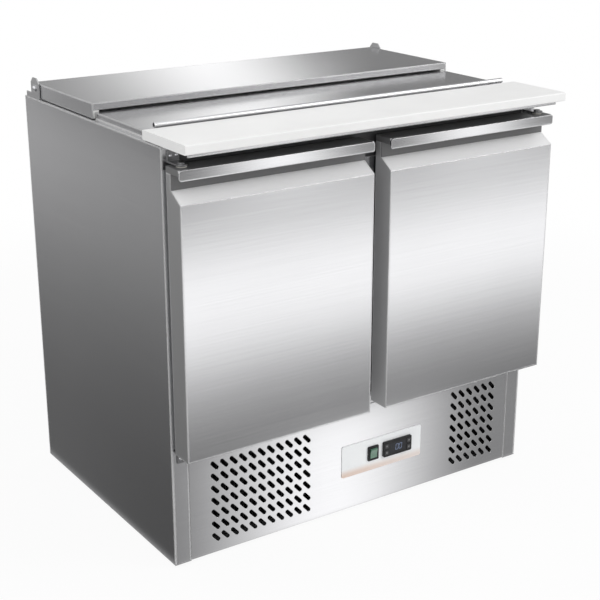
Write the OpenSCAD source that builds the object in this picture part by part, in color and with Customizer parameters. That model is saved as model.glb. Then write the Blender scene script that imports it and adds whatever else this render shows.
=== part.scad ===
// Two-door refrigerated sandwich prep table with a tilting hood, a sliding lid and a cutting board.
// Frame: origin on the floor at the centre of the table's outline, +X to the right, -Y to the front, +Z up.

/* [Food pans] */
// Width of a full size pan over its flange
full_pan_w = 325; // [300:1:340]
// Length of a full size pan over its flange
full_pan_l = 530; // [500:1:560]
// Width of a sixth size pan over its flange
sixth_pan_w = 176; // [160:1:190]
// Length of a sixth size pan over its flange
sixth_pan_l = 162; // [150:1:166]
// Depth of the pans
pan_depth = 100; // [65:1:110]
// Width of the pan flange
pan_flange = 12; // [10:0.5:15]
// Sheet of the pans
pan_sheet = 1.2; // [0.8:0.1:2]
// Inside corner radius of the pans
pan_corner = 24; // [15:1:35]
// Play between a pan flange and the rails round it
pan_play = 2; // [1:0.5:8]

/* [Cabinet] */
// Height of the side panels above the floor
side_h = 850; // [820:1:920]
// Thickness of the insulated side walls
side_wall = 36; // [32:1:50]
// Depth of the insulated front rail, sill and mullion
front_rail_d = 36; // [34:1:50]
// Height of the front top rail
front_rail_h = 75; // [60:1:90]
// Depth of the rear rail over the insulated rear wall
rear_rail_d = 40; // [38:1:60]
// Height of the rear top rail
rear_rail_h = 50; // [35:1:60]
// Thickness of the insulated rear wall
rear_wall = 36; // [32:1:38]
// Thickness of the insulated floor
floor_wall = 45; // [35:1:60]
// Height of the machine compartment under the insulated floor
plinth_h = 240; // [232:1:260]
// Outer sheet of the cabinet
sheet = 1.2; // [0.8:0.1:1.6]
// Sheet of the inner liner
liner_sheet = 1; // [0.6:0.1:1.5]
// Radius of the rounded rear corners of the liner
cove_r = 15; // [8:1:25]
// Width of the centre mullion
mullion_w = 90; // [76:1:110]
// Height of the sill above the machine compartment
sill_h = 50; // [46:1:60]
// Ground clearance under the cabinet
foot_gap = 5; // [4:0.5:15]
// Diameter of a foot pad
foot_d = 44; // [30:1:60]
// Diameter of a foot stud
foot_stud_d = 10; // [8:1:12]
// Distance of the feet from the cabinet's sides
foot_inset = 60; // [45:1:90]
// Height of the upstand round the base tray
tray_upstand = 25; // [15:1:35]

/* [Doors] */
// Thickness of a door
door_t = 50; // [44:1:56]
// Gap between a door's back and the cabinet, filled by the gasket
door_standoff = 10; // [8:0.5:12]
// Set-in of a door from the cabinet's side
door_reveal = 3; // [1:0.5:5]
// Gap between the two doors
door_split = 40; // [30:1:50]
// Drop of a door's top under the top of the side panels
door_drop = 31; // [30:1:40]
// Height of a door's bottom above the machine compartment
door_lift = 12; // [8:1:16]
// Height of the handle web on top of a door
web_h = 12; // [10:0.5:15]
// Height of the handle lip
lip_h = 20.5; // [16:0.5:24]
// Thickness of the handle lip
lip_t = 4; // [3:0.5:6]
// Radius of the handle lip's corners
lip_r = 5; // [2:0.5:8]
// Height of the finger recess under the handle web
grip_h = 30; // [28:1:45]
// Depth of the finger recess
grip_d = 33; // [28:1:35]
// Height of the bevel under the finger recess
bevel_h = 21; // [14:1:30]
// Thickness of the strip behind the finger recess
grip_strip = 2; // [1:0.5:3]
// Distance of a hinge axis from the door's outer edge
pivot_in = 20; // [18:0.5:21]
// Distance of a hinge axis from the door's back
pivot_deep = 22; // [21:0.5:26]
// Diameter of a hinge pin
pin_d = 8; // [6:0.5:9]
// Outer diameter of a door bush
bush_d = 14; // [12:0.5:16]
// Height of a door bush inside the door
bush_h = 12; // [10:0.5:14]
// Thickness of a bush flange
bush_flange = 2; // [1.5:0.5:3]
// Thickness of a hinge plate
plate_t = 3; // [2:0.5:4]
// Width of a hinge plate
plate_w = 24; // [20:1:26]
// Width of the door gasket
gasket_w = 12; // [10:0.5:12]
// Depth of the raised panel on a door's back
dyke_d = 6; // [3:0.5:7]
// Running clearance round a pin
pin_clear = 0.05; // [0.02:0.01:0.08]
// Clearance between pieces that move past each other
run_gap = 0.4; // [0.3:0.05:0.6]

/* [Hood and lid] */
// Height of the hood above the side panels
hood_h = 32; // [30:1:40]
// Depth of the hood
hood_d = 288; // [270:1:300]
// Distance of the hood's rear edge from the cabinet's back
hood_back = 33; // [32:1:45]
// Set-in of the hood from the cabinet's sides
hood_in = 6; // [5.5:0.5:10]
// Height of the hood's front edge
hood_front_h = 14; // [12:0.5:15]
// Sheet of the hood and the lid
lid_sheet = 1.2; // [0.8:0.1:1.5]
// Distance of the hood axis from the hood's rear edge
hood_pivot_in = 16; // [14:0.5:17]
// Depth of the hood axis under the hood's top
hood_pivot_drop = 10; // [9:0.5:11]
// Diameter of the hood pins
hood_pin_d = 8; // [6:0.5:9]
// Height of the front lid
lid_h = 10; // [8:0.5:10.5]
// Underside of the lid above the side panels
lid_lift = 4; // [3.5:0.5:4.5]
// Overlap of the closed lid with the hood
lid_overlap = 60; // [40:1:75]
// Wall of the lid guides
guide_t = 4; // [3:0.5:5]
// Reach of the guide legs under and over the lid
guide_leg = 9; // [6:0.5:14]
// Diameter of the rolled lid handle
rail_d = 10.5; // [9:0.5:12]
// Height of the rolled lid handle above the lid
rail_lift = 4.5; // [2:0.5:6]
// Distance of the handle's ends from the lid's sides
rail_inset = 16; // [8:1:40]
// Thickness of a hood bracket
ear_t = 2.5; // [2:0.1:3]
// Height of a hood bracket above the side panels
ear_h = 43; // [36:1:50]

/* [Cutting board] */
// Depth of the cutting board
board_d = 160; // [140:1:165]
// Thickness of the cutting board
board_t = 18; // [12:1:20]
// Overhang of the board in front of the cabinet
board_overhang = 90; // [80:1:100]
// Radius of the board's long edges
board_edge = 3; // [1:0.5:5]
// Sheet of the board tray
tray_sheet = 2; // [1.5:0.1:2.5]
// Set-back of the tray lip from the board's front edge
tray_setback = 15; // [8:1:22]
// Set-in of the tray from the board's ends
tray_in = 12; // [6:1:30]
// Height of the tray lip
tray_lip = 8; // [5:0.5:10]
// Diameter of the two board studs
stud_d = 10; // [6:0.5:12]
// Height of the board studs
stud_h = 8; // [5:0.5:9]

/* [Base panel] */
// Length of a vent slot
slot_l = 24.5; // [18:0.5:25]
// Width of a vent slot
slot_w = 8.8; // [5:0.1:9]
// Slant of the vent slots
slot_slant = 48; // [25:1:50]
// Spacing of the vent slots across the panel
slot_pitch_x = 22; // [21:0.5:23]
// Spacing of the vent slots up the panel
slot_pitch_z = 26.6; // [24:0.2:27]
// Rows of vent slots
slot_rows = 7; // [5:1:7]
// Columns of the left vent
left_cols = 11; // [6:1:11]
// Columns of the right vent
right_cols = 6; // [4:1:6]
// Distance of the left vent's centre from the cabinet's side
left_vent_in = 204; // [190:1:205]
// Distance of the right vent's centre from the cabinet's side
right_vent_in = 136; // [130:1:145]
// Drop of the vents' centre under the top of the machine compartment
vent_drop = 120; // [108:1:124]
// Depth of the returns behind the base panel
panel_return = 12; // [8:1:16]

/* [Controls] */
// Width of the control plate
control_w = 212; // [200:1:220]
// Height of the control plate
control_h = 73; // [60:1:80]
// Thickness of the control plate
control_t = 1.5; // [1:0.1:2]
// Centre of the control plate from the middle of the table
control_x = 59; // [50:1:60]
// Centre height of the control plate
control_z = 119; // [115:1:135]
// Corner radius of the control plate
control_r = 4; // [2:0.5:8]
// Centre of the switch from the middle of the table
switch_x = 34; // [28:0.5:36]
// Height of the switch and controller centres above the plate's centre
control_rise = 3.5; // [0:0.5:8]
// Width of the switch bezel
switch_w = 28; // [24:0.5:30]
// Height of the switch bezel
switch_h = 33; // [28:0.5:34]
// Wall of the switch body
switch_wall = 2; // [1.5:0.1:2.5]
// Width of the bezel's rim round the switch body
switch_rim = 3; // [2:0.5:4]
// Tilt of the rocker to each side
rocker_tilt = 8; // [5:0.5:10]
// Diameter of the rocker's pins
rocker_pin_d = 3; // [2:0.1:3.5]
// Centre of the controller from the middle of the table
controller_x = 98; // [95:0.5:105]
// Width of the controller's face
controller_w = 76; // [70:0.5:78]
// Height of the controller's face
controller_h = 35; // [30:0.5:36]
// Thickness of the controller's face
controller_t = 5; // [4.5:0.1:8]
// Rim of the controller's face over its body
controller_rim = 2; // [1:0.1:3]
// Depth of the controller's body behind the panel
controller_d = 58; // [40:1:70]
// Width of the display window
display_w = 44; // [38:0.5:46]
// Height of the display window
display_h = 23; // [18:0.5:26]
// Width of a controller key
key_w = 9; // [7:0.2:10]
// Height of a controller key
key_h = 10; // [7:0.2:11]
// Travel of a controller key
key_travel = 0.8; // [0.4:0.1:1]

/* [Refrigeration] */
// Diameter of the compressor shell
compressor_d = 160; // [130:1:180]
// Height of the compressor shell
compressor_h = 165; // [130:1:180]
// Width of the condenser coil
condenser_w = 240; // [200:1:260]
// Height of the condenser coil
condenser_h = 180; // [150:1:190]
// Depth of the condenser coil
condenser_d = 45; // [35:1:55]
// Diameter of the condenser fan
fan_d = 160; // [130:1:165]
// Blades of the condenser fan
fan_blades = 5; // [4:1:7]
// Diameter of the fan motor
motor_d = 76; // [60:1:90]
// Diameter of the fan shaft
shaft_d = 6; // [5:0.5:8]
// Width of the evaporator coil
evaporator_w = 440; // [360:1:500]
// Height of the evaporator coil
evaporator_h = 105; // [80:1:110]
// Depth of the evaporator coil
evaporator_d = 45; // [35:1:50]
// Spacing of the coil fins
fin_pitch = 10; // [8:0.5:16]
// Thickness of a coil fin
fin_t = 1; // [0.6:0.1:1.5]
// Diameter of the refrigerant tubes
tube_d = 8; // [6:0.5:10]
// Diameter of the drain tube
drain_d = 12; // [10:0.5:14]

/* [Shelves] */
// Height of the shelves above the compartment's floor
shelf_z = 190; // [120:1:230]
// Diameter of a shelf frame rod
rod_d = 6; // [5:0.5:8]
// Diameter of a shelf wire
wire_d = 4; // [3:0.5:5]
// Spacing of the shelf wires
wire_pitch = 25; // [20:1:40]
// Width of a shelf pilaster
pilaster_w = 20; // [16:1:26]
// Depth of a shelf pilaster
pilaster_d = 8; // [6:0.5:10]

/* [Hidden] */
$fn = 48;
eps = 1;

// Cabinet outline, worked out from the row of pans that the opening holds
wall_play = 1;
body_w = 2 * full_pan_w + sixth_pan_w + 2 * (side_wall + wall_play);
body_d = front_rail_d + full_pan_l + 2 * pan_play + rear_rail_d;
half_w = body_w / 2;
liner_half = half_w - side_wall;
face_y = (board_overhang - body_d) / 2;
back_y = (board_overhang + body_d) / 2;
rail_back_y = face_y + front_rail_d;
rear_rail_y = back_y - rear_rail_d;
liner_back_y = back_y - rear_wall;
floor_z = plinth_h + floor_wall;
sill_z = plinth_h + sill_h;
front_rail_z = side_h - front_rail_h;
rear_rail_z = side_h - rear_rail_h;
tray_floor_z = foot_gap + sheet;
tray_front_y = face_y + sheet + panel_return;

// Pan seats
ledge_drop = 10;
ledge_t = 4;
ledge_z = side_h - ledge_drop;
ledge_front_y = rail_back_y + pan_play + pan_flange;
ledge_rear_y = rear_rail_y - pan_play - pan_flange;
pan_front_y = rail_back_y + pan_play;
pan_gap = 0.5;
bar_h = 8;
bar_w = 16;
left_pan_x = -liner_half + wall_play;
right_pan_x = left_pan_x + full_pan_w;
sixth_pan_x = right_pan_x + full_pan_w;
sixth_step = (full_pan_l - sixth_pan_l) / 2;

// Door places, for the left door
door_x0 = -half_w + door_reveal;
door_x1 = -door_split / 2;
door_back_y = face_y - door_standoff;
door_front_y = door_back_y - door_t;
door_z0 = plinth_h + door_lift;
door_z1 = side_h - door_drop;
web_z = door_z1 - web_h;
recess_y = door_front_y + grip_d;
bevel_z1 = web_z - grip_h;
bevel_z0 = bevel_z1 - bevel_h;
bevel_turn = atan(grip_d / bevel_h);
pivot_x = door_x0 + pivot_in;
pivot_y = door_back_y - pivot_deep;
upper_plate_z = door_z1 + bush_flange + run_gap;
lower_plate_z = door_z0 - bush_flange - run_gap - plate_t;
gasket_x0 = pivot_x + pin_clear;
gasket_x1 = -mullion_w / 2 + gasket_w + 2;
gasket_z0 = door_z0 + 10;
gasket_z1 = front_rail_z + 2 * gasket_w;

// Hood and lid places
hood_half = half_w - hood_in;
hood_rear_y = back_y - hood_back;
hood_front_y = hood_rear_y - hood_d;
hood_z = side_h + hood_h;
hood_front_z = hood_z - hood_front_h;
hood_axis_y = hood_rear_y - hood_pivot_in;
hood_axis_z = hood_z - hood_pivot_drop;
hood_skirt_z = side_h + 2;
lid_z0 = side_h + lid_lift;
lid_z1 = lid_z0 + lid_h;
lid_half = hood_half - lid_sheet - guide_t - run_gap;
board_rear_y = face_y - board_overhang + board_d;
lid_front_y = board_rear_y + 2;
lid_rear_y = hood_front_y + lid_overlap;
core_z = lid_z1 + 5;
ear_x = half_w - 5;

// Board places
tray_z = side_h;
board_z = tray_z + tray_sheet;
board_front_y = face_y - board_overhang;
stud_x = half_w - 150;
stud_y = face_y + front_rail_d / 2;

// Control places
plate_y = face_y - control_t;
control_mid_z = control_z + control_rise;
body_clear = 0.2;
rocker_gap = 0.3;
rocker_y = plate_y - 1;
key_x = display_w / 2 + (controller_w - display_w) / 4;
key_z = controller_h / 4 - 1;

// Machine compartment places
left_vent_x = half_w - left_vent_in;
right_vent_x = half_w - right_vent_in;
vent_z = plinth_h - vent_drop;
condenser_x = -left_vent_x;
condenser_y = tray_front_y + 16;
condenser_z = vent_z;
shroud_y = condenser_y + condenser_d;
shroud_t = 2;
fan_y = shroud_y + shroud_t + 3;
fan_hub_h = 20;
motor_y = fan_y + fan_hub_h + 2;
motor_h = 45;
compressor_x = half_w / 3;
compressor_y = (face_y + back_y) / 2;
port_x = compressor_d / 2 + 12;
grommet_h = 14;
compressor_z = tray_floor_z + grommet_h;
discharge_z = compressor_z + compressor_h / 2 + 28;
suction_port_z = compressor_z + compressor_h / 2 - 22;
condenser_tubes = 5;
evaporator_tubes = 4;
evaporator_z = ledge_z - pan_depth - 20 - evaporator_h;
evaporator_y = liner_back_y - evaporator_d;
trough_h = 20;
trough_z = evaporator_z - 6 - trough_h;
drain_x = 60;
drain_y = liner_back_y - drain_d / 2 - 1;
line_x = evaporator_w / 2 + 30;
line_y = liner_back_y - 14;
line_gap = 20;
elbow_swell = 0.6;
pass_clear = 0.5;
shelf_level = floor_z + shelf_z;
shelf_front_y = rail_back_y + pilaster_d + 6;
shelf_rear_y = liner_back_y - drain_d - pilaster_d - 2;

// A box between two corners, given as ranges along the three axes
module block(x, y, z) {
  translate([x[0], y[0], z[0]]) cube([x[1] - x[0], y[1] - y[0], z[1] - z[0]]);
}

// A Y-Z profile drawn out along X
module along_x(x) {
  translate([x[0], 0, 0]) rotate([90, 0, 90]) linear_extrude(x[1] - x[0]) children();
}

// An X-Z profile drawn out along Y
module along_y(y) {
  translate([0, y[1], 0]) rotate([90, 0, 0]) linear_extrude(y[1] - y[0]) children();
}

// An X-Y profile drawn out along Z
module along_z(z) {
  translate([0, 0, z[0]]) linear_extrude(z[1] - z[0]) children();
}

// A flat rectangle between two corners
module plate(x, y) {
  translate([x[0], y[0]]) square([x[1] - x[0], y[1] - y[0]]);
}

// A flat rectangle with round corners
module round_plate(x, y, r) {
  plate([x[0] + r, x[1] - r], y);
  plate(x, [y[0] + r, y[1] - r]);
  for (cx = [x[0] + r, x[1] - r], cy = [y[0] + r, y[1] - r]) translate([cx, cy]) circle(r);
}

// A flat oblong with round ends
module oblong(length, width) {
  square([length - width, width], center = true);
  for (side = [-1, 1]) translate([side * (length - width) / 2, 0]) circle(width / 2);
}

// A shape and its mirror image across the middle of the table
module both_sides() {
  children();
  mirror([1, 0, 0]) children();
}

// A bore or a pin along X, Y or Z
module rod_x(x, y, z, d) {
  translate([x[0], y, z]) rotate([0, 90, 0]) cylinder(h = x[1] - x[0], d = d);
}
module rod_y(x, y, z, d) {
  translate([x, y[1], z]) rotate([90, 0, 0]) cylinder(h = y[1] - y[0], d = d);
}
module rod_z(x, y, z, d) {
  translate([x, y, z[0]]) cylinder(h = z[1] - z[0], d = d);
}

// A tube bent along a list of points, with round elbows
module bent_tube(points, d) {
  for (i = [0 : len(points) - 2]) {
    leg = points[i + 1] - points[i];
    reach = norm(leg);
    tilt = acos(leg[2] / reach);
    turn = atan2(leg[1], leg[0]);
    translate(points[i]) rotate([0, tilt, turn]) cylinder(h = reach, d = d);
    if (i > 0) translate(points[i]) sphere(d = d + elbow_swell);
  }
}

// Side panel: one folded sheet with a front jamb, a rear flange, a top rim and the lid runner
module side_panel() {
  runner_in = hood_in + lid_sheet + guide_t;
  runner_w = 14;
  along_z([foot_gap, side_h - sheet]) polygon([
    [-half_w, face_y], [-liner_half, face_y], [-liner_half, face_y + sheet],
    [-half_w + sheet, face_y + sheet], [-half_w + sheet, back_y - sheet],
    [-liner_half, back_y - sheet], [-liner_half, back_y], [-half_w, back_y]
  ]);
  block([-half_w, -liner_half], [face_y, back_y], [side_h - sheet, side_h]);
  block([-half_w + runner_in, -half_w + runner_in + runner_w],
        [lid_front_y, hood_front_y - 2], [side_h, lid_z0 - run_gap]);
}
module left_side_panel() { color("silver") side_panel(); }
module right_side_panel() { color("silver") mirror([1, 0, 0]) side_panel(); }

// Rear panel with three banks of air slots behind the machine compartment
louvre_l = 150;
louvre_w = 7;
louvre_rows = 8;
louvre_pitch = 20;
inlet_x = half_w - 150;
inlet_z = 60;
inlet_w = 28;
inlet_h = 20;
inlet_d = 32;
module rear_panel() {
  color("gainsboro") along_y([back_y - sheet, back_y]) difference() {
    plate([-liner_half, liner_half], [foot_gap, rear_rail_z]);
    for (bank = [-1, 0, 1], row = [0 : louvre_rows - 1])
      translate([bank * (louvre_l + 30) - 60, 60 + row * louvre_pitch]) oblong(louvre_l, louvre_w);
    plate([inlet_x - inlet_w / 2, inlet_x + inlet_w / 2], [inlet_z - inlet_h / 2, inlet_z + inlet_h / 2]);
  }
}

// Folded tray that carries the machine compartment and stands on the feet
foot_x = half_w - foot_inset;
foot_ys = [tray_front_y + foot_inset, back_y - foot_inset];
mount_x = 70;
mount_y = 50;
stud_clear = 0.3;
module base_tray() {
  color("darkgray") difference() {
    block([-half_w + sheet, half_w - sheet], [tray_front_y, back_y - sheet],
          [foot_gap, foot_gap + tray_upstand]);
    block([-half_w + 2 * sheet, half_w - 2 * sheet], [tray_front_y + sheet, back_y - 2 * sheet],
          [tray_floor_z, foot_gap + tray_upstand + eps]);
    for (x = [-foot_x, foot_x], y = foot_ys)
      rod_z(x, y, [foot_gap - eps, tray_floor_z + eps], foot_stud_d + 2 * stud_clear);
  }
}

// Levelling feet: a pad, its stud and its nut
module levelling_feet() {
  nut_h = 6;
  pad_edge = 1.5;
  color("dimgray") for (x = [-foot_x, foot_x], y = foot_ys) translate([x, y, 0]) rotate_extrude() polygon([
    [0, 0], [foot_d / 2 - pad_edge, 0], [foot_d / 2, pad_edge], [foot_d / 2, foot_gap - pad_edge],
    [foot_d / 2 - pad_edge, foot_gap], [foot_stud_d / 2, foot_gap], [foot_stud_d / 2, tray_floor_z],
    [foot_stud_d / 2 + 4, tray_floor_z], [foot_stud_d / 2 + 4, tray_floor_z + nut_h],
    [foot_stud_d / 2, tray_floor_z + nut_h], [foot_stud_d / 2, foot_gap + tray_upstand],
    [0, foot_gap + tray_upstand]
  ]);
}

// Plan of the compartment with its rounded rear corners, from a front line, grown by a wall
module tub_plan(front_y, grow) {
  half = liner_half + grow;
  rear = liner_back_y + grow;
  r = cove_r + grow;
  plate([-half, half], [front_y, rear - r]);
  plate([-half + r, half - r], [front_y, rear]);
  for (side = [-1, 1]) translate([side * (half - r), rear - r]) circle(r);
}

// Holes through the insulated floor for the drain and the refrigerant lines
module floor_passages() {
  rod_z(drain_x, drain_y, [plinth_h - eps, floor_z + eps], drain_d + 2 * pass_clear);
  for (i = [0, 1])
    rod_z(line_x + i * line_gap, line_y, [plinth_h - eps, floor_z + eps], tube_d + 2 * pass_clear);
}

// Inner liner: side walls, rear wall and floor in one folded tub, open to the front and the top
module inner_liner() {
  front = face_y + sheet;
  top = side_h - sheet;
  color("lightgray") difference() {
    along_z([floor_z - liner_sheet, top]) tub_plan(front, liner_sheet);
    along_z([floor_z, top + eps]) tub_plan(front - eps, 0);
    block([-liner_half, liner_half], [front - eps, rail_back_y],
          [floor_z - liner_sheet - eps, floor_z + eps]);
    block([-liner_half, liner_half], [rear_rail_y, back_y], [rear_rail_z, top + eps]);
    floor_passages();
  }
}

// Foam between the liner and the outer sheets
module wall_insulation() {
  top = side_h - sheet;
  color("khaki") difference() {
    block([-half_w + sheet, half_w - sheet], [face_y + sheet, back_y - sheet], [plinth_h, top]);
    along_z([floor_z - liner_sheet, top + eps]) tub_plan(face_y, liner_sheet);
    block([-liner_half, liner_half], [face_y, rail_back_y], [plinth_h - eps, sill_z]);
    block([-liner_half - liner_sheet, liner_half + liner_sheet], [rear_rail_y, back_y],
          [rear_rail_z, top + eps]);
    floor_passages();
  }
}

// Front top rail: a folded box section with the ledge that carries the pans
module front_top_rail() {
  color("silver") along_x([-liner_half, liner_half]) difference() {
    polygon([
      [face_y, front_rail_z], [rail_back_y, front_rail_z], [rail_back_y, ledge_z - ledge_t],
      [ledge_front_y, ledge_z - ledge_t], [ledge_front_y, ledge_z], [rail_back_y, ledge_z],
      [rail_back_y, side_h], [face_y, side_h]
    ]);
    plate([face_y + sheet, rail_back_y - sheet], [front_rail_z + sheet, side_h - sheet]);
  }
}

// Rear top rail: a folded box section with its ledge
module rear_top_rail() {
  ledge_half = liner_half - cove_r;
  color("silver") {
    along_x([-liner_half, liner_half]) difference() {
      plate([rear_rail_y, back_y], [rear_rail_z, side_h]);
      plate([rear_rail_y + sheet, back_y - sheet], [rear_rail_z + sheet, side_h - sheet]);
    }
    along_x([-ledge_half, ledge_half])
      plate([ledge_rear_y, rear_rail_y + sheet / 2], [ledge_z - ledge_t, ledge_z]);
  }
}

// Outline of the sill's section, drawn in by a wall
module sill_section(wall) {
  flat = 16;
  polygon([
    [face_y + wall, plinth_h + wall], [rail_back_y - wall, plinth_h + wall],
    [rail_back_y - wall, floor_z - wall], [face_y + flat, sill_z - wall], [face_y + wall, sill_z - wall]
  ]);
}

// Sill under the doors: a folded section that slopes back to the compartment's floor
module front_sill() {
  color("silver") along_x([-liner_half, liner_half]) difference() {
    sill_section(0);
    sill_section(sheet);
  }
}

// Outline of the mullion's plan, drawn in by a wall
module mullion_plan(wall) {
  chamfer = 8;
  side = mullion_w / 2 - wall;
  polygon([
    [-side, face_y + wall], [side, face_y + wall], [side, rail_back_y - chamfer],
    [side - chamfer + wall, rail_back_y - wall], [chamfer - wall - side, rail_back_y - wall],
    [-side, rail_back_y - chamfer]
  ]);
}

// Centre mullion: a folded section between the sill and the front top rail
module centre_mullion() {
  color("silver") difference() {
    along_z([floor_z, front_rail_z]) difference() {
      mullion_plan(0);
      mullion_plan(sheet);
    }
    along_x([-half_w, half_w]) sill_section(0);
  }
}

// Bars that carry the pans: four along the depth and two short ones between the sixth size pans
module pan_bars() {
  low = ledge_z - bar_h;
  edge = pan_flange - 2;
  wide = sixth_step - sixth_pan_l;
  color("silver") {
    both_sides() block([-liner_half, -liner_half + edge], [ledge_front_y, ledge_rear_y], [low, ledge_z]);
    for (x = [right_pan_x, sixth_pan_x])
      block([x - bar_w / 2, x + bar_w / 2], [ledge_front_y, ledge_rear_y], [low, ledge_z]);
    for (i = [0, 1]) {
      mid = pan_front_y + sixth_pan_l + wide / 2 + i * sixth_step;
      leg = wide / 2 + pan_flange - 2;
      rib = wide / 2 - pan_gap;
      along_x([sixth_pan_x + bar_w / 2, liner_half - edge]) polygon([
        [mid - leg, low], [mid + leg, low], [mid + leg, ledge_z], [mid + rib, ledge_z],
        [mid + rib, ledge_z + pan_sheet], [mid - rib, ledge_z + pan_sheet],
        [mid - rib, ledge_z], [mid - leg, ledge_z]
      ]);
    }
  }
}

// A food pan with its flange, placed by the front left corner of the flange
module food_pan(x, y, w, l) {
  wall_x = [x + pan_flange, x + w - pan_flange];
  wall_y = [y + pan_flange, y + l - pan_flange];
  bottom = ledge_z - pan_depth;
  color("gainsboro") difference() {
    union() {
      along_z([ledge_z, ledge_z + pan_sheet])
        round_plate([x + pan_gap, x + w - pan_gap], [y + pan_gap, y + l - pan_gap], pan_flange);
      along_z([bottom, ledge_z + pan_sheet]) round_plate(wall_x, wall_y, pan_corner);
    }
    along_z([bottom + pan_sheet, ledge_z + pan_sheet + eps])
      round_plate([wall_x[0] + pan_sheet, wall_x[1] - pan_sheet],
                  [wall_y[0] + pan_sheet, wall_y[1] - pan_sheet], pan_corner - pan_sheet);
  }
}
module left_full_pan() { food_pan(left_pan_x, pan_front_y, full_pan_w, full_pan_l); }
module right_full_pan() { food_pan(right_pan_x, pan_front_y, full_pan_w, full_pan_l); }
module sixth_pans() {
  for (i = [0 : 2]) food_pan(sixth_pan_x, pan_front_y + i * sixth_step, sixth_pan_w, sixth_pan_l);
}

// Wire shelf for the left half: rods along the width with wires welded on them from front to back
side_clip_ys = [shelf_front_y + 60, shelf_rear_y - 90];
module wire_shelf() {
  weld_sink = 0.6;
  x = [-liner_half + pilaster_d + 2, -3];
  y = [shelf_front_y, shelf_rear_y];
  z = shelf_level + rod_d / 2;
  wire_z = z + (rod_d + wire_d) / 2 - weld_sink;
  wires = floor((x[1] - x[0] - 2 * rod_d) / wire_pitch);
  step = (x[1] - x[0] - 2 * rod_d) / wires;
  for (cross_y = [y[0] + rod_d, side_clip_ys[0], side_clip_ys[1], y[1] - rod_d]) {
    rod_x(x, cross_y, z, rod_d);
  }
  for (i = [0 : wires]) rod_y(x[0] + rod_d + i * step, y, wire_z, wire_d);
}
module wire_shelves() { color("whitesmoke") both_sides() wire_shelf(); }

// Slotted pilasters that carry the shelf clips
module pilaster(slot_x, slot_y) {
  height = [floor_z + 12, shelf_level + 90];
  difference() {
    along_z(height) plate(slot_x, slot_y);
    for (z = [height[0] + 15 : 30 : height[1] - 15])
      translate([(slot_x[0] + slot_x[1]) / 2, (slot_y[0] + slot_y[1]) / 2, z])
        cube([pilaster_w / 2, pilaster_w / 2, 5], center = true);
  }
}
module shelf_pilasters() {
  color("silver") {
    both_sides() for (y = side_clip_ys)
      pilaster([-liner_half, -liner_half + pilaster_d], [y - pilaster_w / 2, y + pilaster_w / 2]);
    pilaster([-pilaster_w / 2, pilaster_w / 2], [rail_back_y, rail_back_y + pilaster_d]);
    pilaster([-pilaster_w / 2, pilaster_w / 2], [liner_back_y - pilaster_d, liner_back_y]);
  }
}

// Clips that hook on the pilasters under the shelves
module shelf_clips() {
  reach = 12;
  thick = 4;
  z = [shelf_level - thick, shelf_level];
  color("silver") {
    both_sides() for (y = side_clip_ys)
      block([-liner_half + pilaster_d, -liner_half + pilaster_d + reach], [y - 8, y + 8], z);
    block([-16, 16], [rail_back_y + pilaster_d, shelf_front_y + reach], z);
    block([-16, 16], [shelf_rear_y - reach, liner_back_y - pilaster_d], z);
  }
}

// A finned coil: tubes along X through a stack of fins, with end plates
module finned_coil(x, y, z, tubes) {
  step = (z[1] - z[0]) / tubes;
  fins = floor((x[1] - x[0] - 4 * fin_t) / fin_pitch);
  gap = (x[1] - x[0] - 2 * fin_t) / fins;
  mid = (y[0] + y[1]) / 2;
  for (end = [x[0], x[1] - 2 * fin_t]) block([end, end + 2 * fin_t], y, z);
  for (i = [1 : fins - 1])
    block([x[0] + i * gap, x[0] + i * gap + fin_t], [y[0] + 2, y[1] - 2], [z[0] + 4, z[1] - 4]);
  for (i = [0 : tubes - 1]) rod_x(x, mid, z[0] + (i + 0.5) * step, tube_d);
}

// Evaporator on the rear wall of the compartment
module evaporator_coil() {
  color("lightsteelblue") finned_coil([-evaporator_w / 2, evaporator_w / 2], [evaporator_y, liner_back_y],
    [evaporator_z, evaporator_z + evaporator_h], evaporator_tubes);
}

// Trough under the evaporator, with its drain tube down to the evaporation tray
trough_half = evaporator_w / 2 + 10;
drain_end_z = tray_floor_z + 50;
module drip_trough() {
  wall = 1.5;
  y = [evaporator_y - 8, liner_back_y];
  color("whitesmoke") difference() {
    union() {
      block([-trough_half, trough_half], y, [trough_z, trough_z + trough_h]);
      rod_z(drain_x, drain_y, [drain_end_z, trough_z + wall], drain_d);
      both_sides() block([-evaporator_w / 2 + 6, -evaporator_w / 2 + 16], [y[1] - 3, y[1]],
                         [trough_z, evaporator_z]);
    }
    block([-trough_half + wall, trough_half - wall], [y[0] + wall, y[1] - wall - 2],
          [trough_z + wall, evaporator_z + eps]);
    rod_z(drain_x, drain_y - 1, [drain_end_z - eps, trough_z + 2 * wall], drain_d - 5);
  }
}

// Condenser behind the left vent, standing on the base tray
condenser_xs = [condenser_x - condenser_w / 2, condenser_x + condenser_w / 2];
condenser_zs = [condenser_z - condenser_h / 2, condenser_z + condenser_h / 2];
module condenser_coil() {
  color("dimgray") {
    finned_coil(condenser_xs, [condenser_y, shroud_y], condenser_zs, condenser_tubes);
    for (x = [condenser_xs[0], condenser_xs[1] - 2 * fin_t])
      block([x, x + 2 * fin_t], [condenser_y, shroud_y], [tray_floor_z, condenser_zs[0]]);
  }
}

// Shroud that leads the condenser's air to the fan
fan_gap = 4;
module fan_shroud() {
  ring = 2;
  bore = fan_d + 2 * fan_gap;
  color("gray") difference() {
    union() {
      block(condenser_xs, [shroud_y, shroud_y + shroud_t], condenser_zs);
      rod_y(condenser_x, [shroud_y, shroud_y + 16], condenser_z, bore + 2 * ring);
    }
    rod_y(condenser_x, [shroud_y - eps, shroud_y + 16 + eps], condenser_z, bore);
  }
}

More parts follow.
